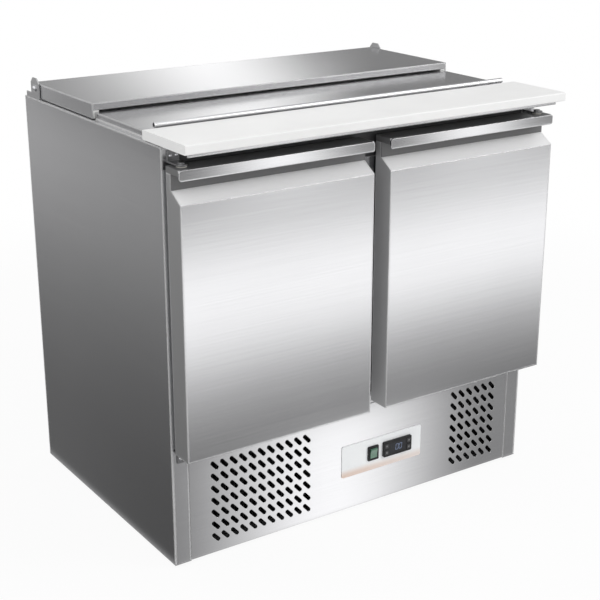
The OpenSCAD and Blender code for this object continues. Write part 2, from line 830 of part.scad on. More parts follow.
// Fan motor with its shaft and the strap that holds it to the shroud
module fan_motor() {
  strap_w = 30;
  strap_t = 3;
  back = motor_y + motor_h;
  color("black") {
    rod_y(condenser_x, [motor_y, back], condenser_z, motor_d);
    rod_y(condenser_x, [fan_y + 2, motor_y], condenser_z, shaft_d);
  }
  color("gray") along_x([condenser_x - strap_w / 2, condenser_x + strap_w / 2]) difference() {
    plate([shroud_y + shroud_t, back + strap_t], condenser_zs);
    plate([shroud_y, back], [condenser_zs[0] + strap_t, condenser_zs[1] - strap_t]);
  }
}

// Condenser fan: a hub with pitched blades
module condenser_fan() {
  hub_d = 46;
  blade_t = 2;
  blade_pitch = 28;
  blade_l = 26;
  color("dimgray") difference() {
    union() {
      rod_y(condenser_x, [fan_y, fan_y + fan_hub_h], condenser_z, hub_d);
      intersection() {
        rod_y(condenser_x, [fan_y, fan_y + fan_hub_h], condenser_z, fan_d);
        translate([condenser_x, fan_y + fan_hub_h / 2, condenser_z])
          for (i = [0 : fan_blades - 1]) rotate([0, i * 360 / fan_blades, 0]) rotate([0, 0, blade_pitch])
            translate([-blade_l, -blade_t / 2, 0]) cube([2 * blade_l, blade_t, fan_d]);
      }
    }
    rod_y(condenser_x, [fan_y - eps, fan_y + fan_hub_h + eps], condenser_z, shaft_d + 2 * pin_clear);
  }
}

// Hermetic compressor: a domed shell on a foot plate, with its terminal cover
module compressor() {
  r = compressor_d / 2;
  dome = 40;
  foot_t = 3;
  seam = 5;
  base = compressor_z + foot_t;
  waist = compressor_h / 2;
  color("black") {
    translate([compressor_x, compressor_y, base]) rotate_extrude() {
      plate([0, r], [dome, compressor_h - dome]);
      plate([0, r + seam], [waist - 3, waist + 3]);
      plate([0, r - dome], [0, compressor_h]);
      for (z = [dome, compressor_h - dome]) intersection() {
        translate([r - dome, z]) circle(dome);
        plate([0, r], [0, compressor_h]);
      }
    }
    along_z([compressor_z, base])
      round_plate([compressor_x - mount_x - 16, compressor_x + mount_x + 16],
                  [compressor_y - mount_y - 16, compressor_y + mount_y + 16], 12);
    block([compressor_x + r - 12, compressor_x + r + 28], [compressor_y - 30, compressor_y + 30],
          [base + waist + 6, base + waist + 46]);
    rod_x([compressor_x - port_x, compressor_x], compressor_y, discharge_z, tube_d + 2);
    rod_x([compressor_x, compressor_x + port_x], compressor_y, suction_port_z, tube_d + 2);
  }
}

// Rubber grommets under the compressor
module compressor_grommets() {
  color("black") for (x = [-mount_x, mount_x], y = [-mount_y, mount_y])
    translate([compressor_x + x, compressor_y + y, tray_floor_z]) rotate_extrude()
      polygon([[0, 0], [13, 0], [13, 4], [9, 7], [13, 10], [13, grommet_h], [0, grommet_h]]);
}

// Refrigerant lines: discharge to the condenser, liquid with its drier to the evaporator, suction back
module refrigerant_lines() {
  step = condenser_h / condenser_tubes;
  coil_y = (condenser_y + shroud_y) / 2;
  coil_x = condenser_xs[1];
  coil_high = condenser_zs[1] - step / 2;
  coil_low = condenser_zs[0] + step / 2;
  cold_step = evaporator_h / evaporator_tubes;
  cold_y = (evaporator_y + liner_back_y) / 2;
  cold_x = evaporator_w / 2;
  cold_low = evaporator_z + cold_step / 2;
  cold_high = evaporator_z + evaporator_h - cold_step / 2;
  warm_x = coil_x + 40;
  drier_x = coil_x + 110;
  drier_h = 80;
  liquid_z = plinth_h - 22;
  suction_z = liquid_z - 30;
  suction_out = 60;
  suction_x = compressor_x + compressor_d / 2 + suction_out;
  return_x = line_x + line_gap;
  color("peru") {
    bent_tube([
      [coil_x, coil_y, coil_high], [warm_x, coil_y, coil_high], [warm_x, compressor_y, coil_high],
      [warm_x, compressor_y, discharge_z], [compressor_x - port_x, compressor_y, discharge_z]
    ], tube_d);
    bent_tube([
      [coil_x, coil_y, coil_low], [drier_x, coil_y, coil_low], [drier_x, coil_y, liquid_z],
      [line_x, coil_y, liquid_z], [line_x, line_y, liquid_z], [line_x, line_y, cold_low],
      [line_x, cold_y, cold_low], [cold_x, cold_y, cold_low]
    ], tube_d);
    rod_z(drier_x, coil_y, [coil_low + 30, coil_low + 30 + drier_h], 2.8 * tube_d);
    bent_tube([
      [cold_x, cold_y, cold_high], [return_x, cold_y, cold_high], [return_x, line_y, cold_high],
      [return_x, line_y, suction_z], [suction_x, line_y, suction_z], [suction_x, compressor_y, suction_z],
      [suction_x, compressor_y, suction_port_z], [compressor_x + port_x, compressor_y, suction_port_z]
    ], tube_d);
  }
}

// Tray that catches and evaporates the drain water
module evaporation_tray() {
  wall = 2;
  corner = 12;
  dish_w = 200;
  dish_d = 150;
  dish_h = 40;
  dish_back = 20;
  x = [drain_x - 0.65 * dish_w, drain_x + 0.35 * dish_w];
  y = [liner_back_y + dish_back - dish_d, liner_back_y + dish_back];
  z = [tray_floor_z, tray_floor_z + dish_h];
  color("black") difference() {
    along_z(z) round_plate(x, y, corner);
    along_z([z[0] + wall, z[1] + eps])
      round_plate([x[0] + wall, x[1] - wall], [y[0] + wall, y[1] - wall], corner - wall);
  }
}

// Box with the mains terminals, on the base tray
module terminal_box() {
  box_w = 110;
  box_d = 88;
  lid_over = 2;
  lid_z = tray_floor_z + inlet_z + 2;
  x = [inlet_x - box_w / 2, inlet_x + box_w / 2];
  y = [back_y - inlet_d - box_d, back_y - inlet_d];
  color("whitesmoke") {
    along_z([tray_floor_z, lid_z]) round_plate(x, y, 5);
    along_z([lid_z, lid_z + 12])
      round_plate([x[0] - lid_over, x[1] + lid_over], [y[0] - lid_over, y[1]], 5);
  }
}

// Recessed appliance inlet in the rear panel, with its three pins
module power_inlet() {
  wall = 2.5;
  room = 18;
  pin_pitch = 7;
  pin_w = 2;
  pin_h = 6;
  y = [back_y - inlet_d, back_y];
  half = [inlet_w / 2 - body_clear, inlet_h / 2 - body_clear];
  color("black") difference() {
    along_y(y) plate([inlet_x - half[0], inlet_x + half[0]], [inlet_z - half[1], inlet_z + half[1]]);
    along_y([y[1] - room, y[1] + eps])
      plate([inlet_x - half[0] + wall, inlet_x + half[0] - wall],
            [inlet_z - half[1] + wall, inlet_z + half[1] - wall]);
  }
  color("gold") for (i = [-1 : 1]) translate([inlet_x + i * pin_pitch, y[1] - room / 2 - 2, inlet_z])
    cube([pin_w, room - 4, pin_h], center = true);
}

// A grid of slanted vent slots round a centre
module vent_slots(x, cols) {
  for (col = [0 : cols - 1], row = [0 : slot_rows - 1])
    translate([x + (col - (cols - 1) / 2) * slot_pitch_x,
               vent_z + (row - (slot_rows - 1) / 2) * slot_pitch_z])
      rotate(-slot_slant) oblong(slot_l, slot_w);
}

// Cut-outs for the bodies of the switch and the controller, with a clearance
module control_cutouts(clear) {
  sw = [switch_w / 2 - switch_rim + clear, switch_h / 2 - switch_rim + clear];
  ct = [controller_w / 2 - controller_rim + clear, controller_h / 2 - controller_rim + clear];
  plate([switch_x - sw[0], switch_x + sw[0]], [control_mid_z - sw[1], control_mid_z + sw[1]]);
  plate([controller_x - ct[0], controller_x + ct[0]], [control_mid_z - ct[1], control_mid_z + ct[1]]);
}

// Base panel: folded sheet with two vents and the control cut-outs
module base_panel() {
  fit = 0.5;
  x = [-liner_half + fit, liner_half - fit];
  z = [foot_gap + 2, plinth_h - 1];
  color("whitesmoke") {
    along_y([face_y, face_y + sheet]) difference() {
      plate(x, z);
      vent_slots(-left_vent_x, left_cols);
      vent_slots(right_vent_x, right_cols);
      control_cutouts(body_clear);
    }
    along_y([face_y + sheet, face_y + sheet + panel_return]) difference() {
      plate(x, z);
      plate([x[0] + sheet, x[1] - sheet], [z[0] + sheet, z[1] - sheet]);
    }
  }
}

// Control plate
module control_plate() {
  color("white") along_y([plate_y, face_y]) difference() {
    round_plate([control_x - control_w / 2, control_x + control_w / 2],
                [control_z - control_h / 2, control_z + control_h / 2], control_r);
    control_cutouts(body_clear);
  }
}

// Switch bezel with its body behind the panel
switch_front_y = plate_y - 3;
rocker_room_w = switch_w - 2 * switch_rim - 2 * switch_wall;
rocker_room_h = switch_h - 2 * switch_rim - 2 * switch_wall;
module switch_bezel() {
  back = face_y + 26;
  color("black") difference() {
    union() {
      along_y([switch_front_y, plate_y])
        round_plate([switch_x - switch_w / 2, switch_x + switch_w / 2],
                    [control_mid_z - switch_h / 2, control_mid_z + switch_h / 2], 2);
      along_y([plate_y, back])
        plate([switch_x - switch_w / 2 + switch_rim, switch_x + switch_w / 2 - switch_rim],
              [control_mid_z - switch_h / 2 + switch_rim, control_mid_z + switch_h / 2 - switch_rim]);
    }
    along_y([switch_front_y - eps, back - switch_wall])
      plate([switch_x - rocker_room_w / 2, switch_x + rocker_room_w / 2],
            [control_mid_z - rocker_room_h / 2, control_mid_z + rocker_room_h / 2]);
    rod_x([switch_x - switch_w, switch_x + switch_w], rocker_y, control_mid_z,
          rocker_pin_d + 2 * pin_clear);
  }
}

// Rocker with its lit lens, resting on its lower side
module switch_rocker() {
  r = rocker_room_h / 2 - rocker_gap;
  half = rocker_room_w / 2 - rocker_gap;
  dip = 3.2;
  rise = dip + r * tan(rocker_tilt);
  color("limegreen") {
    translate([0, rocker_y, control_mid_z]) rotate([rocker_tilt, 0, 0])
      along_x([switch_x - half, switch_x + half]) intersection() {
        circle(r);
        polygon([[r, r], [-rise, r], [-dip, 0], [-rise, -r], [r, -r]]);
      }
    rod_x([switch_x - half - switch_wall, switch_x + half + switch_wall], rocker_y, control_mid_z,
          rocker_pin_d);
  }
}

// Controller housing with the display recess and the key pockets
controller_front_y = plate_y - controller_t;
key_proud = 1;
key_depth = 3;
module controller_body() {
  side = [controller_w / 2, controller_h / 2];
  neck = [side[0] - controller_rim, side[1] - controller_rim];
  color("black") difference() {
    union() {
      along_y([controller_front_y, plate_y])
        round_plate([controller_x - side[0], controller_x + side[0]],
                    [control_mid_z - side[1], control_mid_z + side[1]], 3);
      along_y([plate_y, face_y + controller_d])
        plate([controller_x - neck[0], controller_x + neck[0]],
              [control_mid_z - neck[1], control_mid_z + neck[1]]);
    }
    along_y([controller_front_y - eps, controller_front_y + key_proud])
      plate([controller_x - display_w / 2, controller_x + display_w / 2],
            [control_mid_z - display_h / 2, control_mid_z + display_h / 2]);
    for (x = [-key_x, key_x], z = [-key_z, key_z])
      along_y([controller_front_y - eps, controller_front_y + key_depth + key_travel])
        plate([controller_x + x - key_w / 2 - rocker_gap, controller_x + x + key_w / 2 + rocker_gap],
              [control_mid_z + z - key_h / 2 - rocker_gap, control_mid_z + z + key_h / 2 + rocker_gap]);
  }
}

// Display window, flush with the controller's face
module display_window() {
  color("darkslategray") along_y([controller_front_y, controller_front_y + key_proud])
    plate([controller_x - display_w / 2, controller_x + display_w / 2],
          [control_mid_z - display_h / 2, control_mid_z + display_h / 2]);
}

// A controller key in its pocket
module controller_key(x, z) {
  color("gray") along_y([controller_front_y - key_proud, controller_front_y + key_depth - rocker_gap])
    round_plate([controller_x + x - key_w / 2, controller_x + x + key_w / 2],
                [control_mid_z + z - key_h / 2, control_mid_z + z + key_h / 2], 1);
}
module up_key() { controller_key(key_x, key_z); }
module down_key() { controller_key(key_x, -key_z); }
module set_key() { controller_key(-key_x, key_z); }
module defrost_key() { controller_key(-key_x, -key_z); }

// A hinge plate with its pin, drawn for the upper left hinge from the plate's door side
flange_h = 22;
module hinge_plate() {
  pin_reach = bush_flange + run_gap + bush_h - 3;
  along_z([0, plate_t]) {
    plate([pivot_x - plate_w / 2, pivot_x + plate_w / 2], [pivot_y, face_y]);
    translate([pivot_x, pivot_y]) circle(plate_w / 2);
  }
  block([pivot_x - plate_w / 2, pivot_x + plate_w / 2], [face_y - plate_t, face_y], [0, flange_h]);
  rod_z(pivot_x, pivot_y, [-pin_reach, plate_t], pin_d);
  rod_z(pivot_x, pivot_y, [plate_t, plate_t + 3], pin_d + 5);
}
module hinge_plates() {
  color("silver") both_sides() {
    translate([0, 0, upper_plate_z]) hinge_plate();
    translate([0, 0, lower_plate_z + plate_t]) mirror([0, 0, 1]) hinge_plate();
  }
}

// Outline of the left door's section, drawn in by a wall
module door_section(wall, back) {
  drop = wall * tan(bevel_turn / 2);
  polygon([
    [back, door_z0 + wall], [door_front_y + wall, door_z0 + wall], [door_front_y + wall, bevel_z0 - drop],
    [recess_y + wall, bevel_z1 - drop], [recess_y + wall, web_z - wall], [back, web_z - wall]
  ]);
}

// Door skin: folded sheet with the bevel and the finger recess, open at the back
module door_skin() {
  color("silver") difference() {
    along_x([door_x0, door_x1]) door_section(0, door_back_y);
    along_x([door_x0 + sheet, door_x1 - sheet]) door_section(sheet, door_back_y + eps);
    rod_z(pivot_x, pivot_y, [door_z0 - eps, door_z0 + 2 * sheet], bush_d);
  }
}

// Door inner panel: the foam core with its liner and the raised dyke inside the gasket
module door_inner() {
  margin = gasket_w + 2;
  color("gainsboro") difference() {
    union() {
      along_x([door_x0 + sheet, door_x1 - sheet]) door_section(sheet, door_back_y);
      along_y([door_back_y, door_back_y + dyke_d])
        round_plate([gasket_x0 + margin, gasket_x1 - margin], [gasket_z0 + margin, gasket_z1 - margin], 10);
    }
    rod_z(pivot_x, pivot_y, [door_z0, door_z0 + bush_h + 2], bush_d);
  }
}

// Magnetic gasket: a base, a narrow bellows and a head, in a ring
module gasket_ring(y, inset) {
  along_y(y) difference() {
    plate([gasket_x0 + inset, gasket_x1 - inset], [gasket_z0 + inset, gasket_z1 - inset]);
    plate([gasket_x0 + gasket_w - inset, gasket_x1 - gasket_w + inset],
          [gasket_z0 + gasket_w - inset, gasket_z1 - gasket_w + inset]);
  }
}
module door_gasket() {
  base = 2.5;
  head = 3.5;
  front = face_y - run_gap;
  color("dimgray") {
    gasket_ring([door_back_y, door_back_y + base], 0);
    gasket_ring([door_back_y + base, front - head], 2.5);
    gasket_ring([front - head, front], 0);
  }
}

// Door handle: a web over the door's top, a lip in front and a strip behind the finger recess
module door_handle() {
  lip_z = door_z1 - lip_h;
  lip_y = door_front_y + lip_t;
  round = lip_t / 2;
  color("lightgray") {
    intersection() {
      along_x([door_x0, door_x1]) {
        plate([door_front_y, lip_y], [lip_z + round, door_z1]);
        translate([door_front_y + round, lip_z + round]) circle(round);
      }
      along_y([door_front_y - eps, lip_y + eps]) round_plate([door_x0, door_x1], [lip_z, door_z1], lip_r);
    }
    difference() {
      along_x([door_x0, door_x1]) {
        plate([lip_y, door_back_y], [web_z, door_z1]);
        plate([recess_y - grip_strip, recess_y], [bevel_z1, web_z]);
      }
      rod_z(pivot_x, pivot_y, [web_z - eps, door_z1 + eps], bush_d);
    }
  }
}

// Flanged door bushes, upper and lower
module door_bush() {
  difference() {
    union() {
      rod_z(pivot_x, pivot_y, [-bush_h, 0], bush_d);
      rod_z(pivot_x, pivot_y, [0, bush_flange], bush_d + 6);
    }
    rod_z(pivot_x, pivot_y, [-bush_h - eps, bush_flange + eps], pin_d + 2 * pin_clear);
  }
}
module door_bushes() {
  color("goldenrod") {
    translate([0, 0, door_z1]) door_bush();
    translate([0, 0, door_z0]) mirror([0, 0, 1]) door_bush();
  }
}
module left_door_skin() { door_skin(); }
module left_door_inner() { door_inner(); }
module left_door_gasket() { door_gasket(); }
module left_door_handle() { door_handle(); }
module left_door_bushes() { door_bushes(); }
module right_door_skin() { mirror([1, 0, 0]) door_skin(); }
module right_door_inner() { mirror([1, 0, 0]) door_inner(); }
module right_door_gasket() { mirror([1, 0, 0]) door_gasket(); }
module right_door_handle() { mirror([1, 0, 0]) door_handle(); }
module right_door_bushes() { mirror([1, 0, 0]) door_bushes(); }

// Side outline of the hood, cut back behind its axis so that it clears the rear rail when it tips up
hood_rear_z = hood_axis_z - 8;
module hood_side(front, grow) {
  polygon([
    [front, hood_skirt_z], [hood_axis_y, hood_skirt_z], [hood_axis_y + hood_pivot_in / 2, hood_skirt_z + 2],
    [hood_rear_y - grow, hood_rear_z], [hood_rear_y - grow, hood_z - grow], [front, hood_z - grow]
  ]);
}

// Rear brackets that carry the hood, with a foot behind the hood
module hood_brackets() {
  foot_y = hood_rear_y + 5;
  rear = back_y - 4;
  top = side_h + ear_h;
  ear_half = 20;
  corner = 10;
  x = [ear_x, ear_x + ear_t];
  color("silver") both_sides() difference() {
    union() {
      along_x(x) polygon([
        [hood_axis_y - ear_half, side_h], [rear, side_h], [rear, side_h + corner],
        [hood_axis_y + ear_half, side_h + corner], [hood_axis_y + ear_half, top - corner],
        [hood_axis_y + ear_half - corner, top], [hood_axis_y - ear_half + corner, top],
        [hood_axis_y - ear_half, top - corner]
      ]);
      block([ear_x - 34, ear_x], [foot_y, rear], [side_h, side_h + ear_t]);
    }
    rod_x([ear_x - eps, ear_x + ear_t + eps], hood_axis_y, hood_axis_z, hood_pin_d + 2 * pin_clear);
  }
}

// Pivot pins of the hood, with their heads outside the brackets
module hood_pins() {
  inner = hood_half - lid_sheet - guide_t;
  head_t = 2;
  color("gainsboro") both_sides() {
    rod_x([inner, ear_x + ear_t], hood_axis_y, hood_axis_z, hood_pin_d);
    rod_x([ear_x + ear_t, ear_x + ear_t + head_t], hood_axis_y, hood_axis_z, hood_pin_d + 6);
  }
}

// Rear hood: folded sheet with a front edge, a rear edge and two side skirts
module rear_hood() {
  t = lid_sheet;
  bore = hood_pin_d + 2 * pin_clear;
  color("silver") difference() {
    union() {
      along_x([-hood_half, hood_half]) polygon([
        [hood_front_y, hood_front_z], [hood_front_y, hood_z], [hood_rear_y, hood_z],
        [hood_rear_y, hood_rear_z], [hood_rear_y - t, hood_rear_z], [hood_rear_y - t, hood_z - t],
        [hood_front_y + t, hood_z - t], [hood_front_y + t, hood_front_z]
      ]);
      both_sides() along_x([hood_half - t, hood_half]) hood_side(hood_front_y, 0);
    }
    rod_x([-half_w, half_w], hood_axis_y, hood_axis_z, bore);
  }
}

// Insulating panel inside the hood
module hood_core() {
  t = lid_sheet;
  color("white") block([-hood_half + t, hood_half - t], [hood_front_y + t, hood_axis_y - hood_pin_d],
                       [core_z, hood_z - t]);
}

// Guides inside the hood's skirts, which the lid slides in and the hood pins turn in
module hood_guides() {
  t = lid_sheet;
  web = [hood_half - t - guide_t, hood_half - t];
  color("white") both_sides() difference() {
    union() {
      intersection() {
        along_x(web) hood_side(hood_front_y + t, t);
        block(web, [hood_front_y + t, hood_rear_y - t], [hood_skirt_z - eps, core_z]);
      }
      along_x(web) plate([hood_axis_y - hood_pin_d, hood_rear_y - t], [hood_rear_z, hood_z - t]);
      block([web[0] - guide_leg, web[0]], [hood_front_y + t, hood_axis_y - hood_pin_d],
            [lid_z1 + run_gap, core_z]);
      block([web[0] - guide_leg, web[0]], [hood_front_y + t, hood_axis_y - hood_pin_d],
            [hood_skirt_z, lid_z0 - run_gap]);
    }
    rod_x([web[0] - eps, web[1] + eps], hood_axis_y, hood_axis_z, hood_pin_d + 2 * pin_clear);
  }
}

// Front lid: a shallow folded tray that slides back under the hood
module front_lid() {
  t = lid_sheet;
  color("silver") difference() {
    block([-lid_half, lid_half], [lid_front_y, lid_rear_y], [lid_z0, lid_z1]);
    block([-lid_half + t, lid_half - t], [lid_front_y + t, lid_rear_y - t], [lid_z0 - eps, lid_z1 - t]);
  }
}

// Rolled handle along the lid's front edge, on a low upstand with a flat foot
module lid_handle() {
  r = rail_d / 2;
  t = lid_sheet;
  foot = 18;
  mid_y = lid_front_y + r;
  color("gainsboro") along_x([-lid_half + rail_inset, lid_half - rail_inset]) {
    translate([mid_y, lid_z1 + rail_lift + r]) difference() {
      circle(r);
      circle(r - t);
    }
    plate([mid_y - t / 2, mid_y + t / 2], [lid_z1, lid_z1 + rail_lift + t / 2]);
    plate([mid_y - t / 2, mid_y + foot], [lid_z1, lid_z1 + t]);
  }
}

// Tray that carries the board in front of the cabinet, with a lip and two studs
module board_tray() {
  front = board_front_y + tray_setback;
  color("silver") {
    along_x([-half_w + tray_in, half_w - tray_in]) polygon([
      [front, board_z], [front, board_z - tray_lip], [front + tray_sheet, board_z - tray_lip],
      [front + tray_sheet, tray_z], [rail_back_y, tray_z], [rail_back_y, board_z]
    ]);
    for (x = [-stud_x, stud_x]) rod_z(x, stud_y, [board_z, board_z + stud_h], stud_d);
  }
}

// Cutting board with rounded long edges and two blind holes underneath
module cutting_board() {
  color("white") difference() {
    along_x([-half_w, half_w])
      round_plate([board_front_y, board_rear_y], [board_z, board_z + board_t], board_edge);
    for (x = [-stud_x, stud_x])
      rod_z(x, stud_y, [board_z - eps, board_z + stud_h + 1], stud_d + 2 * run_gap);
  }
}

left_side_panel();
right_side_panel();
rear_panel();
base_tray();
levelling_feet();
inner_liner();
wall_insulation();
front_top_rail();
rear_top_rail();
front_sill();
centre_mullion();
pan_bars();
left_full_pan();
right_full_pan();
sixth_pans();
wire_shelves();
shelf_pilasters();
shelf_clips();
evaporator_coil();
drip_trough();
refrigerant_lines();
compressor();
compressor_grommets();
condenser_coil();
fan_shroud();
fan_motor();
condenser_fan();
evaporation_tray();
terminal_box();
power_inlet();
base_panel();
control_plate();
switch_bezel();
switch_rocker();
controller_body();
display_window();
up_key();
down_key();
set_key();
defrost_key();
hinge_plates();
left_door_skin();
left_door_inner();
left_door_gasket();
left_door_handle();
left_door_bushes();
right_door_skin();
right_door_inner();
right_door_gasket();
right_door_handle();
right_door_bushes();
hood_brackets();
hood_pins();
rear_hood();
hood_core();
hood_guides();
front_lid();
lid_handle();
board_tray();
cutting_board();
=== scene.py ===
import math

import bmesh
import bpy
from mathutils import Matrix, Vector


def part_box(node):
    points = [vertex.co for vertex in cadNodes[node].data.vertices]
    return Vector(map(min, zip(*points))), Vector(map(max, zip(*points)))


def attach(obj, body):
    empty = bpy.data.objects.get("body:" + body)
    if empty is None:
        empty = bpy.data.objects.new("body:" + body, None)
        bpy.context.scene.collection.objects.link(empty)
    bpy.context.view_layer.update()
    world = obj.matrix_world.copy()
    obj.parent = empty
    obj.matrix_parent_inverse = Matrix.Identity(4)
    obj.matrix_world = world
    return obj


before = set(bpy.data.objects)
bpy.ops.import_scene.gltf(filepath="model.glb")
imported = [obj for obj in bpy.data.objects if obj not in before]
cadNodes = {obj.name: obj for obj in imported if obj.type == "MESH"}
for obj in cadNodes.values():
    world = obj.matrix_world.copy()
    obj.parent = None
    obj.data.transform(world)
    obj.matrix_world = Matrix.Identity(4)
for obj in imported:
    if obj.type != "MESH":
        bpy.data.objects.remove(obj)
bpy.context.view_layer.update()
scene = bpy.context.scene
scene.view_settings.view_transform = "Standard"
print("frame loaded:", len(cadNodes), "nodes")

# Detail and roughness of each kind of noise, and the value that noise varies about
noiseKinds = {"hair": (3.0, 0.65), "cloud": (3.0, 0.55), "pebble": (3.0, 0.6), "grain": (4.0, 0.6),
              "soft": (2.0, 0.5), "glow": (1.0, 0.5), "floor": (3.0, 0.5)}
noiseMiddle = 0.5
plainWhite = (1.0, 1.0, 1.0, 1.0)


class Wire:  # one output of a shader tree; sums on it add Math nodes
    def __init__(self, tree, socket):
        self.tree = tree
        self.socket = socket

    def add(self, kind, settings, links, output=0):
        made = self.tree.nodes.new(kind)
        for key, value in settings.items():
            setattr(made, key, value)
        for key, value in links.items():
            plug(self.tree, findSocket(made.inputs, key), value)
        return Wire(self.tree, findSocket(made.outputs, output))

    def math(self, operation, first, second=0.0):
        return self.add("ShaderNodeMath", {"operation": operation}, {0: first, 1: second})

    def __add__(self, other):
        return self.math("ADD", self, other)

    def __radd__(self, other):
        return self.math("ADD", other, self)

    def __sub__(self, other):
        return self.math("SUBTRACT", self, other)

    def __rsub__(self, other):
        return self.math("SUBTRACT", other, self)

    def __mul__(self, other):
        return self.math("MULTIPLY", self, other)

    def __rmul__(self, other):
        return self.math("MULTIPLY", other, self)

    def __truediv__(self, other):
        return self.math("DIVIDE", self, other)

    def __rtruediv__(self, other):
        return self.math("DIVIDE", other, self)

    def toward(self, low, high):  # a number mixed by this value
        return low + self * (high - low)

    def around(self, middle, span):  # a number that follows this noise on both sides of its middle
        return middle + span * (self - noiseMiddle)

    def size(self):  # the value without its sign
        return self.math("ABSOLUTE", self)

    def clamped(self):
        return self.add("ShaderNodeClamp", {}, {"Value": self})

    def axis(self, letter):
        return self.add("ShaderNodeSeparateXYZ", {}, {0: self}, letter)

    def stretched(self, factors):
        return self.add("ShaderNodeVectorMath", {"operation": "MULTIPLY"}, {0: self, 1: factors})

    def noise(self, kind, scale):
        detail, rough = noiseKinds[kind]
        return self.add("ShaderNodeTexNoise", {},
                        {"Vector": self, "Scale": scale, "Detail": detail, "Roughness": rough})

    def blend(self, low, high):  # colours mixed by this value
        return self.add("ShaderNodeMix", {"data_type": "RGBA"},
                        {"Factor_Float": self, "A_Color": rgba(low), "B_Color": rgba(high)}, "Result_Color")

    def ranged(self, low, high, toLow=0.0, toHigh=1.0):
        span = {"From Min": low, "From Max": high, "To Min": toLow, "To Max": toHigh}
        return self.add("ShaderNodeMapRange", {"interpolation_type": "SMOOTHSTEP"}, {"Value": self, **span})

    def facing(self):
        return self.add("ShaderNodeNewGeometry", {}, {}, "Normal")

    def own(self):  # a normal as the piece itself sees it, in every pose
        spaces = {"vector_type": "NORMAL", "convert_from": "WORLD", "convert_to": "OBJECT"}
        return self.add("ShaderNodeVectorTransform", spaces, {0: self})

    def bump(self, strength, distance, normal=None):
        links = {"Height": self, "Strength": strength, "Distance": distance}
        if normal:
            links["Normal"] = normal
        return self.add("ShaderNodeBump", {}, links)


def findSocket(sockets, key):
    if isinstance(key, int):
        return sockets[key]
    for socket in sockets:
        if socket.identifier == key:
            return socket
    return sockets[key]


def plug(tree, socket, value):
    if isinstance(value, Wire):
        tree.links.new(value.socket, socket)
    else:
        socket.default_value = value


def rgba(colour):
    if isinstance(colour, Wire) or len(colour) == 4:
        return colour
    return (*colour, 1.0)


def startMaterial(name):
    material = bpy.data.materials.new(name)
    material.use_nodes = True
    tree = material.node_tree
    tree.nodes.clear()
    sink = tree.nodes.new("ShaderNodeOutputMaterial")
    skin = tree.nodes.new("ShaderNodeBsdfPrincipled")
    tree.links.new(skin.outputs[0], sink.inputs[0])
    place = Wire(tree, tree.nodes.new("ShaderNodeTexCoord").outputs["Object"])
    return material, skin, place


def closeMaterial(tree, shader):
    sink = [node for node in tree.nodes if node.type == "OUTPUT_MATERIAL"][0]
    tree.links.new(shader.socket, sink.inputs[0])


def dress(skin, place, links):
    for key, value in links.items():
        plug(place.tree, findSocket(skin.inputs, key), rgba(value) if "Color" in key else value)


# Brushed sheet: hairlines along the face, a painted highlight along folded edges, and zones with a finish of
# their own that paint light or shade
def brushedSheet(name, look, zones=()):
    material, skin, place = startMaterial(name)
    hair = place.stretched(look["hair"]).noise("hair", 1.0)
    band = place.stretched(look["band"]).noise("soft", 1.0)
    cloud = place.noise("cloud", look["cloudScale"])
    tone = (look["hairShare"] * hair + look["bandShare"] * band + look["cloudShare"] * cloud).clamped()
    fold = place.add("ShaderNodeBevel", {"samples": look["foldSamples"]}, {"Radius": look["foldRadius"]})
    square = fold.add("ShaderNodeVectorMath", {"operation": "DOT_PRODUCT"},
                      {0: fold, 1: place.facing()}, "Value")
    paintedEdgeLight = (1.0 - square).ranged(*look["bend"], 0.0, look["edgeLight"])
    paintedEdgeLight = paintedEdgeLight * fold.own().axis("Z").ranged(*look["edgeLightTilt"])  # edges that look down lie in shade and get no painted highlight
    colour = tone.ranged(*look["toneSpan"]).blend(look["dark"], look["light"])
    colour = paintedEdgeLight.blend(colour, look["edgeLightColour"])
    rough = tone.around(look["rough"], look["roughSpan"])
    metallic = paintedEdgeLight.toward(1.0, look["edgeLightMetallic"])
    for maskOf, zone in zones:
        mask = maskOf(place, zone) * (1.0 - zone["edgeLightShows"] * paintedEdgeLight)
        colour = mask.blend(colour, zone["colour"])
        rough = mask.toward(rough, zone["rough"])
        metallic = mask.toward(metallic, zone["metallic"])
    dress(skin, place, {"Base Color": colour, "Roughness": rough, "Metallic": metallic,
                        "Normal": hair.bump(look["bump"], look["bumpDepth"], fold)})
    return material


def facingUp(place, zone):
    return place.facing().own().axis("Z").ranged(*zone["tilt"])


def facingFront(place, zone):
    return (0.0 - place.facing().own().axis("Y")).ranged(*zone["tilt"])


def facingAside(place, zone):
    aside = place.facing().own().axis("X").size()
    return aside.ranged(*zone["tilt"]) * place.axis("X").size().ranged(*zone["from"])


def behindLip(place, zone):
    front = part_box("left_door_handle")[0].y + zone["lipDepth"]
    return place.axis("Y").ranged(front, front + zone["soft"])


steelLook = {
    "hair": (4.0, 4.0, 1100.0), "band": (0.9, 0.9, 160.0), "cloudScale": 4.0,
    "hairShare": 0.6, "bandShare": 0.12, "cloudShare": 0.28, "toneSpan": (0.25, 0.75),
    "dark": (0.54, 0.54, 0.55), "light": (0.6, 0.6, 0.61), "rough": 0.18, "roughSpan": 0.05,
    # The fold keys and the edge keys after them paint a pale, less metallic highlight along folded edges
    "bump": 0.014, "bumpDepth": 0.0004, "foldRadius": 0.0044, "foldSamples": 4, "bend": (0.01, 0.1),
    "edgeLight": 0.95, "edgeLightTilt": (-0.5, -0.2), "edgeLightColour": (0.88, 0.88, 0.89), "edgeLightMetallic": 0.15,
}
